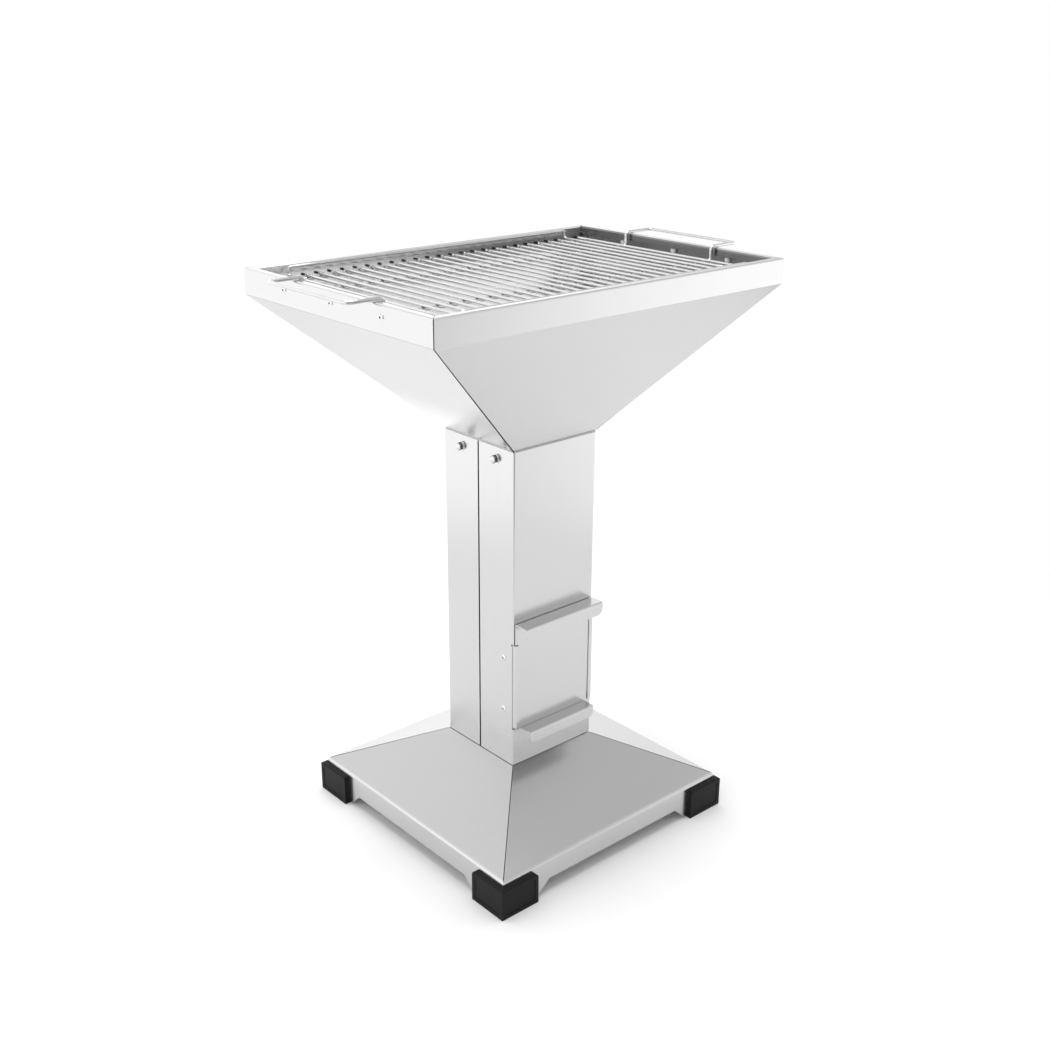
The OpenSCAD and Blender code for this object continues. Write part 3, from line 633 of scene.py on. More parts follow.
def merged_copy(node: str, flat: bool = False) -> Mesh:
    """Copies a solid's mesh and merges its corners.

    Args:
        node: Name of the node.
        flat: Whether coplanar triangles are joined into one face.

    Returns:
        The new mesh.
    """
    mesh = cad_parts[node].data.copy()
    clean = bmesh.new()
    clean.from_mesh(mesh)
    bmesh.ops.remove_doubles(clean, verts=clean.verts, dist=0.002 * MM)
    if flat:
        bmesh.ops.dissolve_limit(clean, angle_limit=math.radians(0.6), verts=clean.verts,
                                 edges=clean.edges)
    clean.to_mesh(mesh)
    clean.free()
    return mesh


def read_places(mesh: Mesh) -> Array:
    """Reads the places of a mesh's vertices.

    Args:
        mesh: Mesh to read.

    Returns:
        Points, shape (n, 3).
    """
    place = np.empty(len(mesh.vertices) * 3)
    mesh.vertices.foreach_get("co", place)
    return place.reshape(-1, 3)


def map_grain(mesh: Mesh, axis: Axis) -> None:
    """Writes a map in metres whose first coordinate runs along the grain of each face.

    On a face with normal n the grain g gives the axes s = g - (g n) n, made unit, and n x s,
    and a point p has the coordinates p s and p (n x s). LEVEL takes X on faces that look
    along Y and Y on the others.

    Args:
        mesh: Mesh that gets the map.
        axis: Direction of the grain.
    """
    count = len(mesh.polygons)
    normal = np.empty(count * 3)
    total = np.empty(count, int)
    mesh.polygons.foreach_get("normal", normal)
    mesh.polygons.foreach_get("loop_total", total)
    normal = normal.reshape(-1, 3)
    if axis is Axis.LEVEL:
        across = np.abs(normal[:, :1]) > np.abs(normal[:, 1:2])
        grain = np.where(across, [[0.0, 1.0, 0.0]], [[1.0, 0.0, 0.0]])
    else:
        grain = np.tile(np.array(axis.value), (count, 1))
        facing = np.abs(np.sum(grain * normal, axis=1, keepdims=True)) > 0.98
        grain = np.where(facing, np.roll(grain, 1, axis=1), grain)
    along = grain - np.sum(grain * normal, axis=1, keepdims=True) * normal
    along /= np.linalg.norm(along, axis=1, keepdims=True)
    across = np.cross(normal, along)
    vertex = np.empty(len(mesh.loops), int)
    mesh.loops.foreach_get("vertex_index", vertex)
    place = read_places(mesh)[vertex]
    face = np.repeat(np.arange(count), total)
    uv = np.stack([np.sum(place * axes[face], axis=1) for axes in (along, across)], axis=-1)
    layer = mesh.uv_layers.new(name=GRAIN_MAP)
    layer.data.foreach_set("uv", uv.ravel())


# Sub-assemblies


@dataclass
class Sheetwork:
    """All folded sheet parts, each with its grain direction and body."""

    grains: dict[str, Axis] = field(default_factory=lambda: {
        "base_shell": Axis.LEVEL, "column_front": Axis.Z, "column_rear": Axis.Z,
        "guide_rail_left": Axis.Z, "guide_rail_right": Axis.Z,
        "bowl_front": Axis.X, "bowl_rear": Axis.X, "bowl_left": Axis.Y, "bowl_right": Axis.Y,
        "seam_strips": Axis.Z, "corner_angles": Axis.Z, "air_slider": Axis.X,
        "drawer_front": Axis.X, "ash_tray": Axis.X, "charcoal_grate": Axis.X})
    moving: dict[str, Body] = field(default_factory=lambda: {
        "air_slider": Body.SLIDER, "drawer_front": Body.DRAWER, "ash_tray": Body.DRAWER,
        "charcoal_grate": Body.COAL})
    # Parts painted near-black as painted shade behind the seams.
    shaded_strips: tuple[str, ...] = ("seam_strips", "corner_angles")
    columns: tuple[str, ...] = ("column_front", "column_rear")
    bowl: tuple[str, ...] = ("bowl_front", "bowl_rear", "bowl_left", "bowl_right")
    wall: float = 1.2 * MM
    foot_gap: float = 1.0 * MM
    drawer_gap: float = 0.8 * MM
    near: float = 0.1 * MM
    sharp: float = 24.0

    def finish(self, node: str) -> Material:
        """Finish of one sheet part."""
        groups = ((self.shaded_strips, SEAM_SHADE), (self.columns, COLUMN), (self.bowl, BOWL))
        return next((finish for nodes, finish in groups if node in nodes), SHEET)

    def open_foot(self, mesh: Mesh) -> None:
        """Lifts the foot of the column's walls, so that it reads as a dark joint.

        Args:
            mesh: Mesh of one half of the column, changed in place.
        """
        place = read_places(mesh)
        half = np.abs(place[:, :2]).max(axis=0) - 1.1 * self.wall
        low = place[:, 2] < place[:, 2].min() + self.near
        place[low & (np.abs(place[:, :2]) > half).any(axis=1), 2] += self.foot_gap
        mesh.vertices.foreach_set("co", place.ravel())

    def trim_drawer(self, mesh: Mesh) -> None:
        """Fills the corners beside the drawer's grip and lifts its lower edge.

        Args:
            mesh: Mesh of the drawer's front, changed in place.
        """
        place = read_places(mesh)
        across = np.abs(place[:, 0])
        shoulder = place[across > across.max() - self.near, 2].max()
        back = place[:, 1] > place[:, 1].max() - 1.1 * self.wall
        place[(np.abs(place[:, 2] - shoulder) < self.near) & back, 2] = place[:, 2].max()
        place[place[:, 2] < place[:, 2].min() + self.near, 2] += self.drawer_gap
        mesh.vertices.foreach_set("co", place.ravel())

    def build(self) -> None:
        """Makes a smooth-shaded copy of each sheet part with its grain map."""
        for node, axis in self.grains.items():
            mesh = merged_copy(node)
            if node in self.columns:
                self.open_foot(mesh)
            if node == "drawer_front":
                self.trim_drawer(mesh)
            map_grain(mesh, axis)
            body = self.moving.get(node, Body.STAND)
            piece = finish_piece(f"{node}_sheet", mesh, self.finish(node), body, Slot.SHEET, self.sharp)
            even = piece.modifiers.new("face_weighted", "WEIGHTED_NORMAL")
            even.keep_sharp = True
            even.weight = 100
            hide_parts(node)


@dataclass
class FootCaps:
    """Moulded corner caps with rounded edges."""

    corners: tuple[str, ...] = ("front_left", "front_right", "rear_left", "rear_right")
    edge: float = 1.1 * MM
    segments: int = 3

    def build(self) -> None:
        """Makes each cap as a flat-faced copy of its solid with rounded edges."""
        for corner in self.corners:
            node = f"foot_cap_{corner}"
            mesh = merged_copy(node, flat=True)
            piece = finish_piece(f"{node}_moulding", mesh, PLASTIC, Body.STAND, Slot.CAP, 30.0)
            rounding = piece.modifiers.new("rounding", "BEVEL")
            rounding.width = self.edge
            rounding.segments = self.segments
            rounding.limit_method = "ANGLE"
            rounding.angle_limit = math.radians(28)
            rounding.use_clamp_overlap = True
            even = piece.modifiers.new("face_weighted", "WEIGHTED_NORMAL")
            even.weight = 80
            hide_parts(node)


@dataclass
class CookingGrate:
    """Welded wire grate: rods over bars, hooked handles and two guard rails."""

    rods: int = 27
    bar: float = 5 * MM
    hook_inset: float = 18 * MM
    hook_radius: float = 6 * MM
    handle_radius: float = 7 * MM
    rail_radius: float = 5 * MM
    bow: float = 0.25 * MM
    front_drop: float = 0.7 * MM
    nugget: Triple = (2.7 * MM, 2.7 * MM, 2.3 * MM)
    nugget_spread: float = 0.1
    seed: int = 7

    def __post_init__(self) -> None:
        """Reads the wire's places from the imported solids."""
        low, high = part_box("grate_rods")
        self.rod = high.z - low.z
        self.rod_z = (low.z + high.z) / 2
        self.rod_end = high.y
        self.rod_x = np.linspace(low.x + self.rod / 2, high.x - self.rod / 2, self.rods)
        low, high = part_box("grate_bars")
        self.bar_z = (low.z + high.z) / 2
        self.end_bar_y = high.y - self.bar / 2
        self.end_bar_x = high.x
        low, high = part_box("grate_handle_right")
        self.bar_y = high.y - self.bar / 2
        self.bar_x = low.x
        self.handle_x = high.x - self.bar / 2
        self.handle_z = high.z - self.bar / 2
        low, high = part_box("guard_rail_rear")
        self.rail_x = high.x - self.rod / 2
        self.rail_y = high.y - self.rod / 2
        self.rail_foot = low.y
        self.rail_z = high.z - self.rod / 2
        self.hook_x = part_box("bowl_right")[1].x - self.hook_inset

    def rod_ends(self) -> Array:
        """Half length of each rod; the second from each side stops at the rail's foot.

        Returns:
            One number for each rod.
        """
        half = np.full(self.rods, self.rod_end)
        half[[1, -2]] = self.rail_foot
        return half

    def build_rods(self) -> None:
        """Makes the rods, each with a slight bow x + b sin(pi t) from its own straightening."""
        chance = np.random.default_rng(self.seed)
        parts = []
        t = np.linspace(0, 1, 13)
        for x, half in zip(self.rod_x, self.rod_ends()):
            lean, sag = chance.normal(0, self.bow, 2)
            arch = np.sin(math.pi * t)
            path = np.stack([x + lean * arch, half * (2 * t - 1), self.rod_z + 0.3 * sag * arch], axis=-1)
            parts.append(swept_wire(path, self.rod / 2))
        piece = make_piece("cooking_rods", *joined(parts), RODS, Body.GRATE, Slot.WIRE)
        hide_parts("grate_rods")

    def build_bars(self) -> None:
        """Makes the four bars under the rods."""
        parts = []
        t = np.linspace(-1, 1, 9)
        for y, x in ((self.bar_y, self.bar_x), (self.end_bar_y, self.end_bar_x)):
            for side in (-1, 1):
                path = np.stack([x * t, np.full_like(t, side * y), np.full_like(t, self.bar_z)], axis=-1)
                parts.append(swept_wire(path, self.bar / 2, rounded=y == self.end_bar_y))
        piece = make_piece("cooking_bars", *joined(parts), WIRE, Body.GRATE, Slot.WIRE)
        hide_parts("grate_bars")

    def handle_path(self, side: int) -> Array:
        """Path of the handle on one side, from one inner bar up, out, along and back.

        Args:
            side: -1 for the left handle, 1 for the right.

        Returns:
            Points, shape (n, 3).
        """
        half = [(self.bar_x, self.bar_z), (self.hook_x, self.bar_z), (self.hook_x, self.handle_z),
                (self.handle_x, self.handle_z)]
        corners = [(side * x, -self.bar_y, z) for x, z in half]
        corners += [(side * x, self.bar_y, z) for x, z in half[::-1]]
        hook, corner = self.hook_radius, self.handle_radius
        return bent_path(corners, [hook, hook, corner, corner, hook, hook], 10)

    def build_handles(self) -> None:
        """Makes both wire handles."""
        for side, name in ((-1, "left"), (1, "right")):
            wire = swept_wire(self.handle_path(side), self.bar / 2, 18, rounded=False)
            piece = make_piece(f"cooking_handle_{name}", *wire, WIRE, Body.GRATE, Slot.WIRE)
            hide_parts(f"grate_handle_{name}")

    def build_rails(self) -> None:
        """Makes the guard rails over both ends of the rods."""
        x, y, foot = self.rail_x, self.rail_y, self.rail_foot
        for side, name in ((-1, "front"), (1, "rear")):
            top = self.rail_z - (self.front_drop if side < 0 else 0.0)
            corners = [(-x, side * foot, self.rod_z), (-x, side * y, self.rod_z), (-x, side * y, top),
                       (x, side * y, top), (x, side * y, self.rod_z), (x, side * foot, self.rod_z)]
            path = bent_path(corners, [self.rail_radius] * 4, 10)
            wire = swept_wire(path, self.rod / 2, rounded=False)
            piece = make_piece(f"cooking_rail_{name}", *wire, WIRE, Body.GRATE, Slot.WIRE)
            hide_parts(f"guard_rail_{name}")

    def build_welds(self) -> None:
        """Puts a squashed nugget of weld metal at each crossing of rod and bar."""
        chance = np.random.default_rng(self.seed + 1)
        polar = np.linspace(0, math.pi, 7)[:, None]
        round_ = np.linspace(0, 2 * math.pi, 10, endpoint=False)[None]
        ball = np.stack([np.sin(polar) * np.cos(round_), np.sin(polar) * np.sin(round_),
                         np.cos(polar) * np.ones_like(round_)], axis=-1).reshape(-1, 3)
        x, y = np.meshgrid(self.rod_x, [-self.end_bar_y, -self.bar_y, self.bar_y, self.end_bar_y])
        places = np.stack([x.ravel(), y.ravel(), np.full(x.size, self.rod_z - self.rod / 2)], axis=-1)
        outer = np.abs(places[:, 1]) > self.bar_y * 1.1
        places = places[outer | (np.abs(places[:, 0]) <= self.bar_x)]
        frames = np.tile(np.eye(4), (len(places), 1, 1))
        spread = 1 + chance.normal(0, self.nugget_spread, (len(places), 3))
        frames[:, range(3), range(3)] = np.array(self.nugget) * spread
        frames[:, :3, 3] = places
        nuggets = repeated(ball, grid_faces(7, 10), frames)
        make_piece("cooking_welds", *nuggets, WELD, Body.GRATE, Slot.WIRE, 80.0)

    def build(self) -> None:
        """Makes the whole grate."""
        self.build_rods()
        self.build_bars()
        self.build_handles()
        self.build_rails()
        self.build_welds()


@dataclass
class CharcoalGrate:
    """Lifting loops of the slotted plate, with a fillet of weld metal at each foot."""

    wire: float = 4 * MM
    bend: float = 8 * MM

    def build(self) -> None:
        """Makes both loops and their fillet welds."""
        low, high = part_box("charcoal_loops")
        x, y, crown = high.x - self.wire / 2, high.y - self.wire / 2, high.z - self.wire / 2
        loops, feet = [], []
        for side in (-1, 1):
            corners = [(side * x, -y, low.z), (side * x, -y, crown), (side * x, y, crown),
                       (side * x, y, low.z)]
            loops.append(swept_wire(bent_path(corners, [self.bend] * 2), self.wire / 2, rounded=False))
            feet += [(side * x, -y, low.z), (side * x, y, low.z)]
        piece = make_piece("charcoal_lifting_loops", *joined(loops), WIRE, Body.COAL, Slot.WIRE)
        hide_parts("charcoal_loops")
        r = self.wire / 2
        profile = ((0.9, 1.6), (1.1, 0.9), (1.5, 0.35), (2, 0.02), (2, -0.1), (0, -0.1))
        fillet = turned([(r * out, 1, r * up) for out, up in profile], 16)
        frames = np.tile(np.eye(4), (len(feet), 1, 1))
        frames[:, :3, 3] = feet
        make_piece("charcoal_loop_welds", *repeated(*fillet, frames), WELD, Body.COAL, Slot.WIRE, 60.0)


@dataclass
class Fasteners:
    """Bolts, nuts, washers and screws as turned and hexagonal surfaces."""

    small: float = 5 * MM
    large: float = 8 * MM
    foot: float = 6 * MM
    sheet: float = 1.2 * MM
    washer: float = 16 * MM
    washer_t: float = 1.6 * MM
    head: float = 9.5 * MM
    head_h: float = 2.8 * MM
    socket: float = 3 * MM
    hex_ratio: float = 1.6
    nut_ratio: float = 0.8
    head_ratio: float = 0.65
    dome_share: float = 0.6
    neck_share: float = 0.86
    neck_low: float = 0.7
    sharp: float = 30.0

    def cap_nut(self, d: float) -> Pair:
        """Closed nut: chamfered hexagon, step, and a dome r cos t, q r sin t.

        Args:
            d: Diameter of the thread.

        Returns:
            Points and faces.
        """
        w, flat = d * self.hex_ratio / 2, d * self.nut_ratio
        corner, dome = w / math.cos(math.pi / 6), w - 0.5 * MM
        t = np.linspace(0, math.pi / 2, 12)
        rows = [(0, w, 0), (w * 0.97, w, 0), (corner, w, 0.5 * MM), (corner, w, flat - 0.8 * MM),
                (w * 0.99, w, flat), (dome + 0.1 * MM, w, flat)]
        rows += [(dome * math.cos(a), w, flat + self.dome_share * dome * math.sin(a)) for a in t]
        return turned(rows)

    def open_nut(self, d: float) -> Pair:
        """Hexagon nut with both faces chamfered and the bolt's end in its bore.

        Args:
            d: Diameter of the thread.

        Returns:
            Points and faces.
        """
        w, h = d * self.hex_ratio / 2, d * self.nut_ratio
        corner = w / math.cos(math.pi / 6)
        return turned([(0, w, 0), (w * 0.96, w, 0), (corner, w, 0.07 * d), (corner, w, h - 0.07 * d),
                       (w * 0.96, w, h), (d * 0.56, w, h), (d * 0.5, w, h - 0.06 * d),
                       (d * 0.5, w, h + 0.12 * d), (d * 0.43, w, h + 0.17 * d), (0, w, h + 0.17 * d)])

    def hex_head(self, d: float) -> Pair:
        """Hexagon head with a chamfered top.

        Args:
            d: Diameter of the thread.

        Returns:
            Points and faces.
        """
        w, h = d * self.hex_ratio / 2, d * self.head_ratio
        corner = w / math.cos(math.pi / 6)
        return turned([(0, w, 0), (w * 0.95, w, 0), (corner, w, 0.03 * d), (corner, w, h - 0.08 * d),
                       (w * 0.94, w, h), (0, w, h)])

    def flat_washer(self) -> Pair:
        """Washer with broken edges."""
        r, t, e = self.washer / 2 * self.neck_share, self.washer_t, 0.25 * MM
        return turned([(0, 1, 0), (r - e, 1, 0), (r, 1, e), (r, 1, t - e), (r - e, 1, t), (0, 1, t)])

    def socket_head(self) -> Pair:
        """Low domed head with a hexagon socket; the crown is a circle arc R cos t, R sin t.

        Returns:
            Points and faces.
        """
        r, h, s = self.head / 2, self.head_h, self.socket / 2
        crown = (r * r + h * h) / (2 * h)
        t = np.linspace(math.asin(r / crown), math.asin(1.25 * s / crown), 9)
        rows = [(0, 1, 0), (r - 0.1 * MM, 1, 0)]
        rows += [(crown * math.sin(a), 1, crown * math.cos(a) - crown + h) for a in t]
        top = rows[-1][2]
        rows += [(1.18 * s, 1, top), (1.0, s, top - 0.1 * MM), (1.0, s, 0.45 * h), (0, 1, 0.3 * h)]
        return turned(rows)

    def socket_shade_plate(self) -> Pair:
        """Thin plate at the bottom of the hexagon socket, near-black as painted shade in the recess."""
        s, h = self.socket / 2 - 0.05 * MM, self.head_h
        return turned([(0, s, 0.5 * h), (1.0, s, 0.5 * h), (1.0, s, 0.85 * h), (0, s, 0.85 * h)])

    @staticmethod
    def side_frames(node: str, across: float, ys: Sequence[float], zs: Sequence[float], outer: float) -> Array:
        """Frames on both sides of the grill, third axis outwards.

        Args:
            node: Node whose box gives the places.
            across: Half size of one fastener along Y and Z.
            ys: Places along Y, from -1 to 1 over the node's box.
            zs: Places along Z, likewise.
            outer: Distance of the seat from the middle plane.

        Returns:
            Frames, shape (k, 4, 4).
        """
        low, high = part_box(node)
        mid_y, mid_z = (low.y + high.y) / 2, (low.z + high.z) / 2
        reach_y, reach_z = high.y - across - mid_y, high.z - across - mid_z
        places = np.array([(s * outer, mid_y + y * reach_y, mid_z + z * reach_z)
                           for s in (-1, 1) for y in ys for z in zs])
        return frames_along(places, np.sign(places) * (1, 0, 0))

    def put(self, name: str, shape: Pair, frames: Array, node: str | None,
            turn: bool = False, finish: Material = FASTENER) -> None:
        """Makes one piece of equal fasteners.

        Args:
            name: Name of the piece.
            shape: Points and faces of one fastener.
            frames: Frame of each copy.
            node: Node that the piece replaces, if any.
            turn: Whether the third axis points inwards instead.
            finish: Material of the fasteners.
        """
        if turn:
            frames = frames @ np.diag([1.0, -1.0, -1.0, 1.0])
        piece = make_piece(name, *repeated(*shape, frames), finish, Body.STAND, Slot.FASTENER, self.sharp)
        if node:
            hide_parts(node)

    def build_feet(self) -> None:
        """Makes the bolts between column and base, heads above and nuts below the seat."""
        low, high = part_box("foot_bolts")
        seat = high.z - self.foot * self.head_ratio
        corner = self.foot * self.hex_ratio / 2 / math.cos(math.pi / 6)
        x, y = high.x - corner, high.y - self.foot * self.hex_ratio / 2
        places = np.array([(sx * x, sy * y, seat) for sx, sy in QUARTERS])
        up = np.tile([0.0, 0.0, 1.0], (4, 1))
        self.put("foot_bolt_heads", self.hex_head(self.foot), frames_along(places, up), "foot_bolts")
        below = places - np.array([0, 0, 2 * self.sheet])
        self.put("foot_hex_nuts", self.open_nut(self.foot), frames_along(below, -up), "foot_nuts")

    def build(self) -> None:
        """Makes every group of fasteners: neck, rim, guide rails and feet."""
        column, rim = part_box("column_front")[1].x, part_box("bowl_right")[1].x
        inner = column - 2 * self.sheet
        head, nut = self.head / 2, self.small * self.hex_ratio / 2
        points, faces = self.cap_nut(self.large * self.neck_share)
        low_nut = (points * (1.0, 1.0, self.neck_low), faces)
        bolts = ("cap_nuts", self.large * self.hex_ratio / 2, (-1, 1), (0,))
        screws = ("rim_screws", head, (-1, 0, 1), (0,))
        rails = ("rail_screws", head, (0,), (-1, 1))
        for name, shape, group, seat, node, turn, finish in (
                ("neck_washer_set", self.flat_washer(), bolts, column, "neck_washers", False, FASTENER),
                ("neck_cap_nut_set", low_nut, bolts, column + self.washer_t, "cap_nuts", False, DOME),
                ("neck_bolt_heads", self.hex_head(self.large), bolts, inner, "neck_bolts", True, FASTENER),
                ("rim_screw_heads", self.socket_head(), screws, rim, "rim_screws", False, FASTENER),
                # The socket plates are painted shade in the recesses of the screw heads.
                ("rim_socket_shade", self.socket_shade_plate(), screws, rim, None, False, SHADE_FILL),
                ("rim_cap_nuts", self.cap_nut(self.small), ("rim_nuts", nut, (-1, 0, 1), (0,)),
                 rim - self.sheet, "rim_nuts", True, NUT_GLINT),
                ("rail_screw_heads", self.socket_head(), rails, column, "rail_screws", False, FASTENER),
                ("rail_socket_shade", self.socket_shade_plate(), rails, column, None, False, SHADE_FILL),
                ("rail_hex_nuts", self.open_nut(self.small), rails, inner, "rail_nuts", True, FASTENER)):
            self.put(name, shape, self.side_frames(*group, seat), node, turn, finish)
        self.build_feet()


@dataclass
class SeamShades:
    """Near-black beads in the open seams of base, column and bowl: painted shade in the gaps.

    The beads on the two hips that outline the bowl in the picture lie deeper in their seams.
    """

    seam: float = 0.65 * MM
    foot: float = 0.5 * MM
    neck: float = 0.13 * MM
    shallow: float = 0.3 * MM
    deep: float = 1.3 * MM
    bend: float = 1.5 * MM
    mouth: float = 4 * MM
    rim_h: float = 36 * MM
    fold_z: float = 56.3 * MM
    fold_x: float = 213 * MM

    def hips(self) -> list[Pair]:
        """Ends of the seams: roof hips, bowl hips and rim corners, in all four quarters.

        Returns:
            First and last point of each seam.
        """
        rim_x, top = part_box("bowl_right")[1].x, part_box("bowl_right")[1].z
        rim_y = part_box("bowl_rear")[1].y
        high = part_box("column_rear")[1]
        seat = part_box("base_shell")[1].z
        ends = []
        for sx, sy in QUARTERS:
            t = self.shallow if sx == sy else self.deep
            x, y, fold = rim_x - t, rim_y - t, top - self.rim_h
            lines = [((high.x + MM, high.y + MM, seat - MM), (self.fold_x, self.fold_x, self.fold_z)),
                     ((high.x - MM, high.y - MM, high.z + 2 * t), (x, y, fold + t)),
                     ((x, y, fold), (x, y, top - self.bend))]
            ends += [(np.array(a) * (sx, sy, 1), np.array(b) * (sx, sy, 1)) for a, b in lines]
        return ends

    def build(self) -> None:
        """Makes the beads of painted shade along the seams and round the foot and the neck of the column."""
        t = np.linspace(0, 1, 9)[:, None]
        parts = [swept_wire(a + (b - a) * t, self.seam, 10) for a, b in self.hips()]
        high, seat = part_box("column_rear")[1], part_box("base_shell")[1].z
        x, y, front = high.x - self.foot / 2, high.y - self.foot / 2, -high.y + self.mouth
        path = bent_path([(-x, front, 0), (-x, y, 0), (x, y, 0), (x, front, 0)], [self.bend] * 2)
        foot = swept_wire(path + np.array([0, 0, seat + self.foot]), self.foot, 10)
        x, y, r = high.x - self.shallow, high.y - self.shallow, self.neck
        corners = [(0, -y, 0), (-x, -y, 0), (-x, y, 0), (x, y, 0), (x, -y, 0), (0, -y, 0)]
        path = bent_path(corners, [self.bend] * 4)
        neck = swept_wire(path + np.array([0, 0, high.z + r / 2]), r, 10)
        beads = {"seam_shade_beads": joined(parts), "foot_shade_bead": foot, "neck_shade_bead": neck}
        for name, bead in beads.items():
            make_piece(name, *bead, SHADE_FILL, Body.STAND, Slot.SHEET, 80.0)


@dataclass
class Welds:
    """Beads of weld metal inside the bowl."""

    radius: float = 1.1 * MM
    ripple: float = 2.2 * MM
    swell: float = 0.16
    sheet: float = 1.2 * MM

    def bead(self, start: Array, end: Array) -> Pair:
        """Rippled bead: a wire whose radius is r (1 + h |sin(pi s / q)|) at the run s.

        Args:
            start: First point.
            end: Last point.

        Returns:
            Points and faces.
        """
        length = float(np.linalg.norm(end - start))
        count = max(8, int(length / self.ripple * 5))
        t = np.linspace(0, 1, count)[:, None]
        points, faces = swept_wire(start + (end - start) * t, self.radius, 8)
        rings = points.reshape(-1, 8, 3)
        middle = rings.mean(axis=1, keepdims=True)
        run = np.linalg.norm(middle[:, 0] - start, axis=1)
        swell = 1 + self.swell * np.abs(np.sin(math.pi * run / self.ripple))
        return (middle + (rings - middle) * swell[:, None, None]).reshape(-1, 3), faces

    def build(self) -> None:
        """Makes the upright beads in the four rim corners."""
        low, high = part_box("corner_angles")
        x, y = high.x - 0.5 * self.sheet, high.y - 0.5 * self.sheet
        inset = 1.5 * self.sheet
        parts = [self.bead(np.array([sx * (x - inset), sy * (y - inset), low.z + MM]),
                           np.array([sx * (x - inset), sy * (y - inset), high.z - MM]))
                 for sx, sy in QUARTERS]
        make_piece("rim_corner_welds", *joined(parts), WELD, Body.STAND, Slot.SHEET, 80.0)


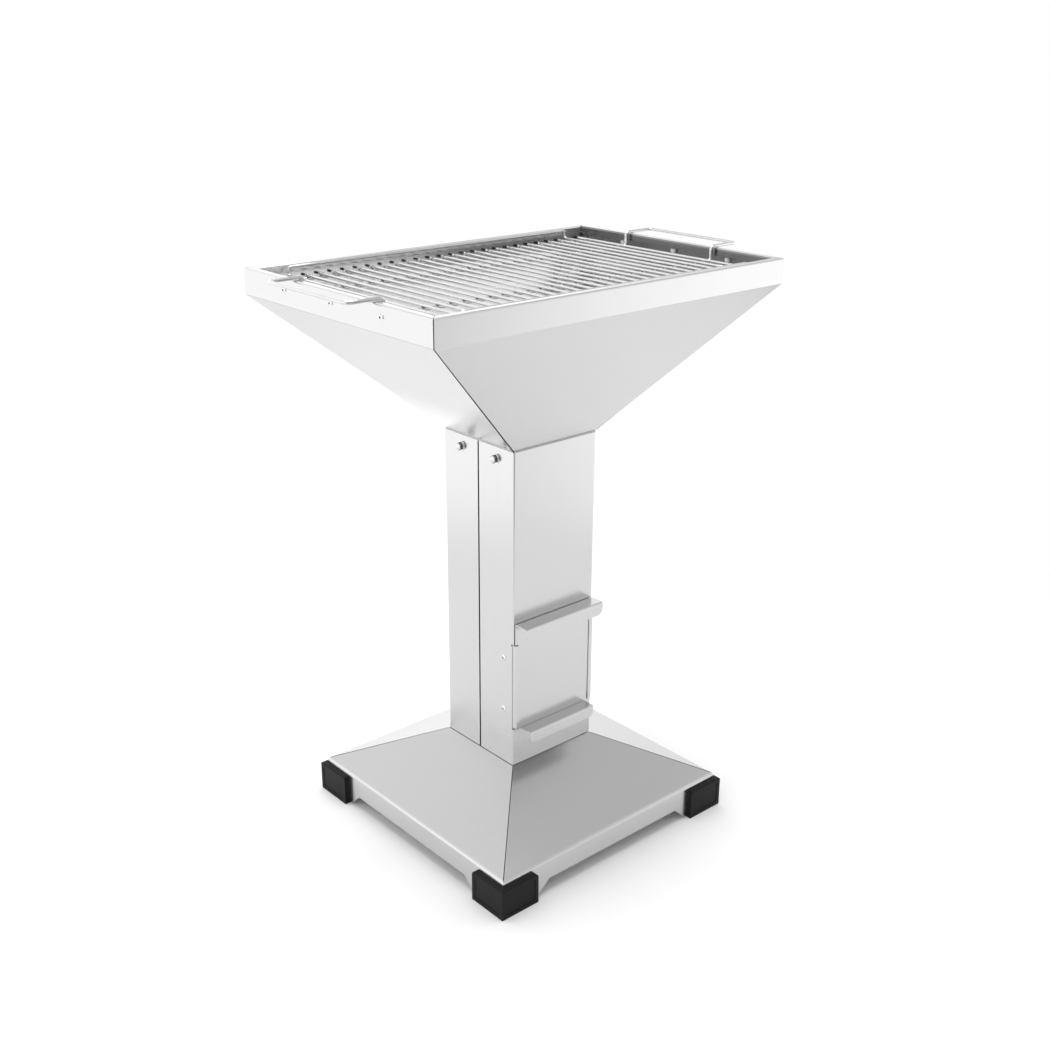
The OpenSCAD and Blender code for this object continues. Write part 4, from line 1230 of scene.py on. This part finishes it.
@dataclass
class Studio:
    """Camera, floor and light."""

    place: Triple = (-1.19708, -1.37224, 1.16538)
    heading: float = -41.339
    pitch: float = 21.092
    roll: float = 0.327
    focal_pixels: float = 1324.45
    frame_pixels: float = 1050.0
    sensor: float = 36.0
    floor_radius: float = 1.35
    floor_near: float = 0.92
    floor_far: float = 0.86
    floor_fall: tuple[float, float] = (0.36, 0.62)
    floor_gain: float = 1.09
    horizon: float = 1.45
    falls: tuple[tuple[float, Triple, float, float], ...] = (
        (0.64, (0.0, 0.0, 1.0), 0.25, 0.9),
        (0.25, (0.8, -0.2, 0.6), 0.5, 1.0),
        (0.97, (-0.17, -0.98, 0.0), 0.42, 0.9),
        (0.7, (0.0, 0.0, -1.0), 0.32, 0.6),
        (0.56, (0.85, 0.5, 0.17), 0.95, 0.985),
        (-0.28, (0.86, -0.5, -0.1), 0.9, 0.99))
    lamp_size: float = 2.0
    lamp_power: float = 54.0
    lamp_place: Triple = (0.0, 0.2, 3.0)

    def camera(self) -> None:
        """Makes the camera.

        With heading h and pitch e it looks along (-sin h cos e, cos h cos e, -sin e), and its
        right and up vectors are turned by the roll.
        """
        h, e, k = (math.radians(v) for v in (self.heading, self.pitch, self.roll))
        ahead = np.array([-math.sin(h) * math.cos(e), math.cos(h) * math.cos(e), -math.sin(e)])
        level = np.array([math.cos(h), math.sin(h), 0.0])
        up = np.cross(level, ahead)
        right = math.cos(k) * level + math.sin(k) * up
        top = -math.sin(k) * level + math.cos(k) * up
        matrix = np.eye(4)
        matrix[:3] = np.stack([right, top, -ahead, self.place], axis=-1)
        data = bpy.data.cameras.new("camera")
        data.sensor_width = self.sensor
        data.lens = self.focal_pixels / self.frame_pixels * self.sensor
        data.clip_start, data.clip_end = 0.05, 60.0
        camera = bpy.data.objects.new("camera", data)
        camera.matrix_world = Matrix(matrix.tolist())
        bpy.context.scene.collection.objects.link(camera)
        bpy.context.scene.camera = camera

    def floor(self) -> None:
        """Makes the round white floor, which keeps the object's shadow.

        Its tone falls by a smooth step of the radius, a painted pool of light round the grill that
        also dims the far floor seen in the metal. Camera rays see it brighter by a fixed gain, and
        all other rays see the plain tone.
        """
        turn = np.linspace(0, 2 * math.pi, 96, endpoint=False)
        rim = np.stack([np.cos(turn), np.sin(turn), 0 * turn], axis=-1) * self.floor_radius
        mesh = bpy.data.meshes.new("floor")
        mesh.from_pydata(rim.tolist(), [], [tuple(range(len(rim)))])
        material, net = new_material("floor_white")
        place = net.add("ShaderNodeTexCoord").out("Object")
        # Painted pool of light: the floor's tone falls with the radius.
        far = net.step(net.vector("LENGTH", place).out("Value"), *self.floor_fall)
        tone = net.mix_colour(far, grey(self.floor_near), grey(self.floor_far))
        seen = net.add("ShaderNodeLightPath").out("Is Camera Ray")
        gain = seen * (self.floor_gain - 1.0) + 1.0
        net.surface("ShaderNodeBsdfDiffuse", Color=net.vector("MULTIPLY", tone, gain))
        mesh.materials.append(material)
        floor = bpy.data.objects.new("floor", mesh)
        bpy.context.scene.collection.objects.link(floor)

    def sky(self) -> None:
        """Makes the light tent.

        It is bright round the horizon. Towards the zenith, the upper right, the open front, the
        ground and a dark panel at the right rear it falls off by a depth times a smooth step of
        the direction's share along that axis. The last depth is negative, which makes a bright
        panel at the right. Camera rays see plain white.
        """
        world = bpy.data.worlds.new("tent")
        world.use_nodes = True
        bpy.context.scene.world = world
        net = Net(world.node_tree)
        ray = net.add("ShaderNodeTexCoord").out("Generated")
        level: Any = self.horizon
        for depth, axis, start, end in self.falls:
            aim = np.array(axis) / np.linalg.norm(axis)
            share = net.vector("DOT_PRODUCT", ray, tuple(aim)).out("Value")
            level = level - depth * net.step(share, start, end)
        seen = net.add("ShaderNodeLightPath").out("Is Camera Ray")
        tent = net.add("ShaderNodeBackground", None, Color=(1.0, 1.0, 1.0, 1.0),
                       Strength=level * (1 - seen) + seen)
        net.add("ShaderNodeOutputWorld", None, Surface=tent)

    def lamp(self) -> None:
        """Hangs the large softbox over the grill."""
        data = bpy.data.lights.new("softbox", "AREA")
        data.shape = "SQUARE"
        data.size = self.lamp_size
        data.energy = self.lamp_power
        lamp = bpy.data.objects.new("softbox", data)
        lamp.location = self.lamp_place
        bpy.context.scene.collection.objects.link(lamp)

    def build(self) -> None:
        """Sets the whole studio."""
        self.camera()
        self.floor()
        self.sky()
        self.lamp()
        bpy.context.scene.view_settings.view_transform = "Standard"


def main() -> None:
    """Builds every sub-assembly and the studio."""
    logging.basicConfig(level=logging.INFO, format="%(name)s %(message)s")
    for part in (Sheetwork(), FootCaps(), Fasteners(), SeamShades(), Welds(), CharcoalGrate(), CookingGrate(),
                 Studio()):
        LOG.info("building %s", type(part).__name__)
        part.build()


if __name__ == "__main__":
    main()
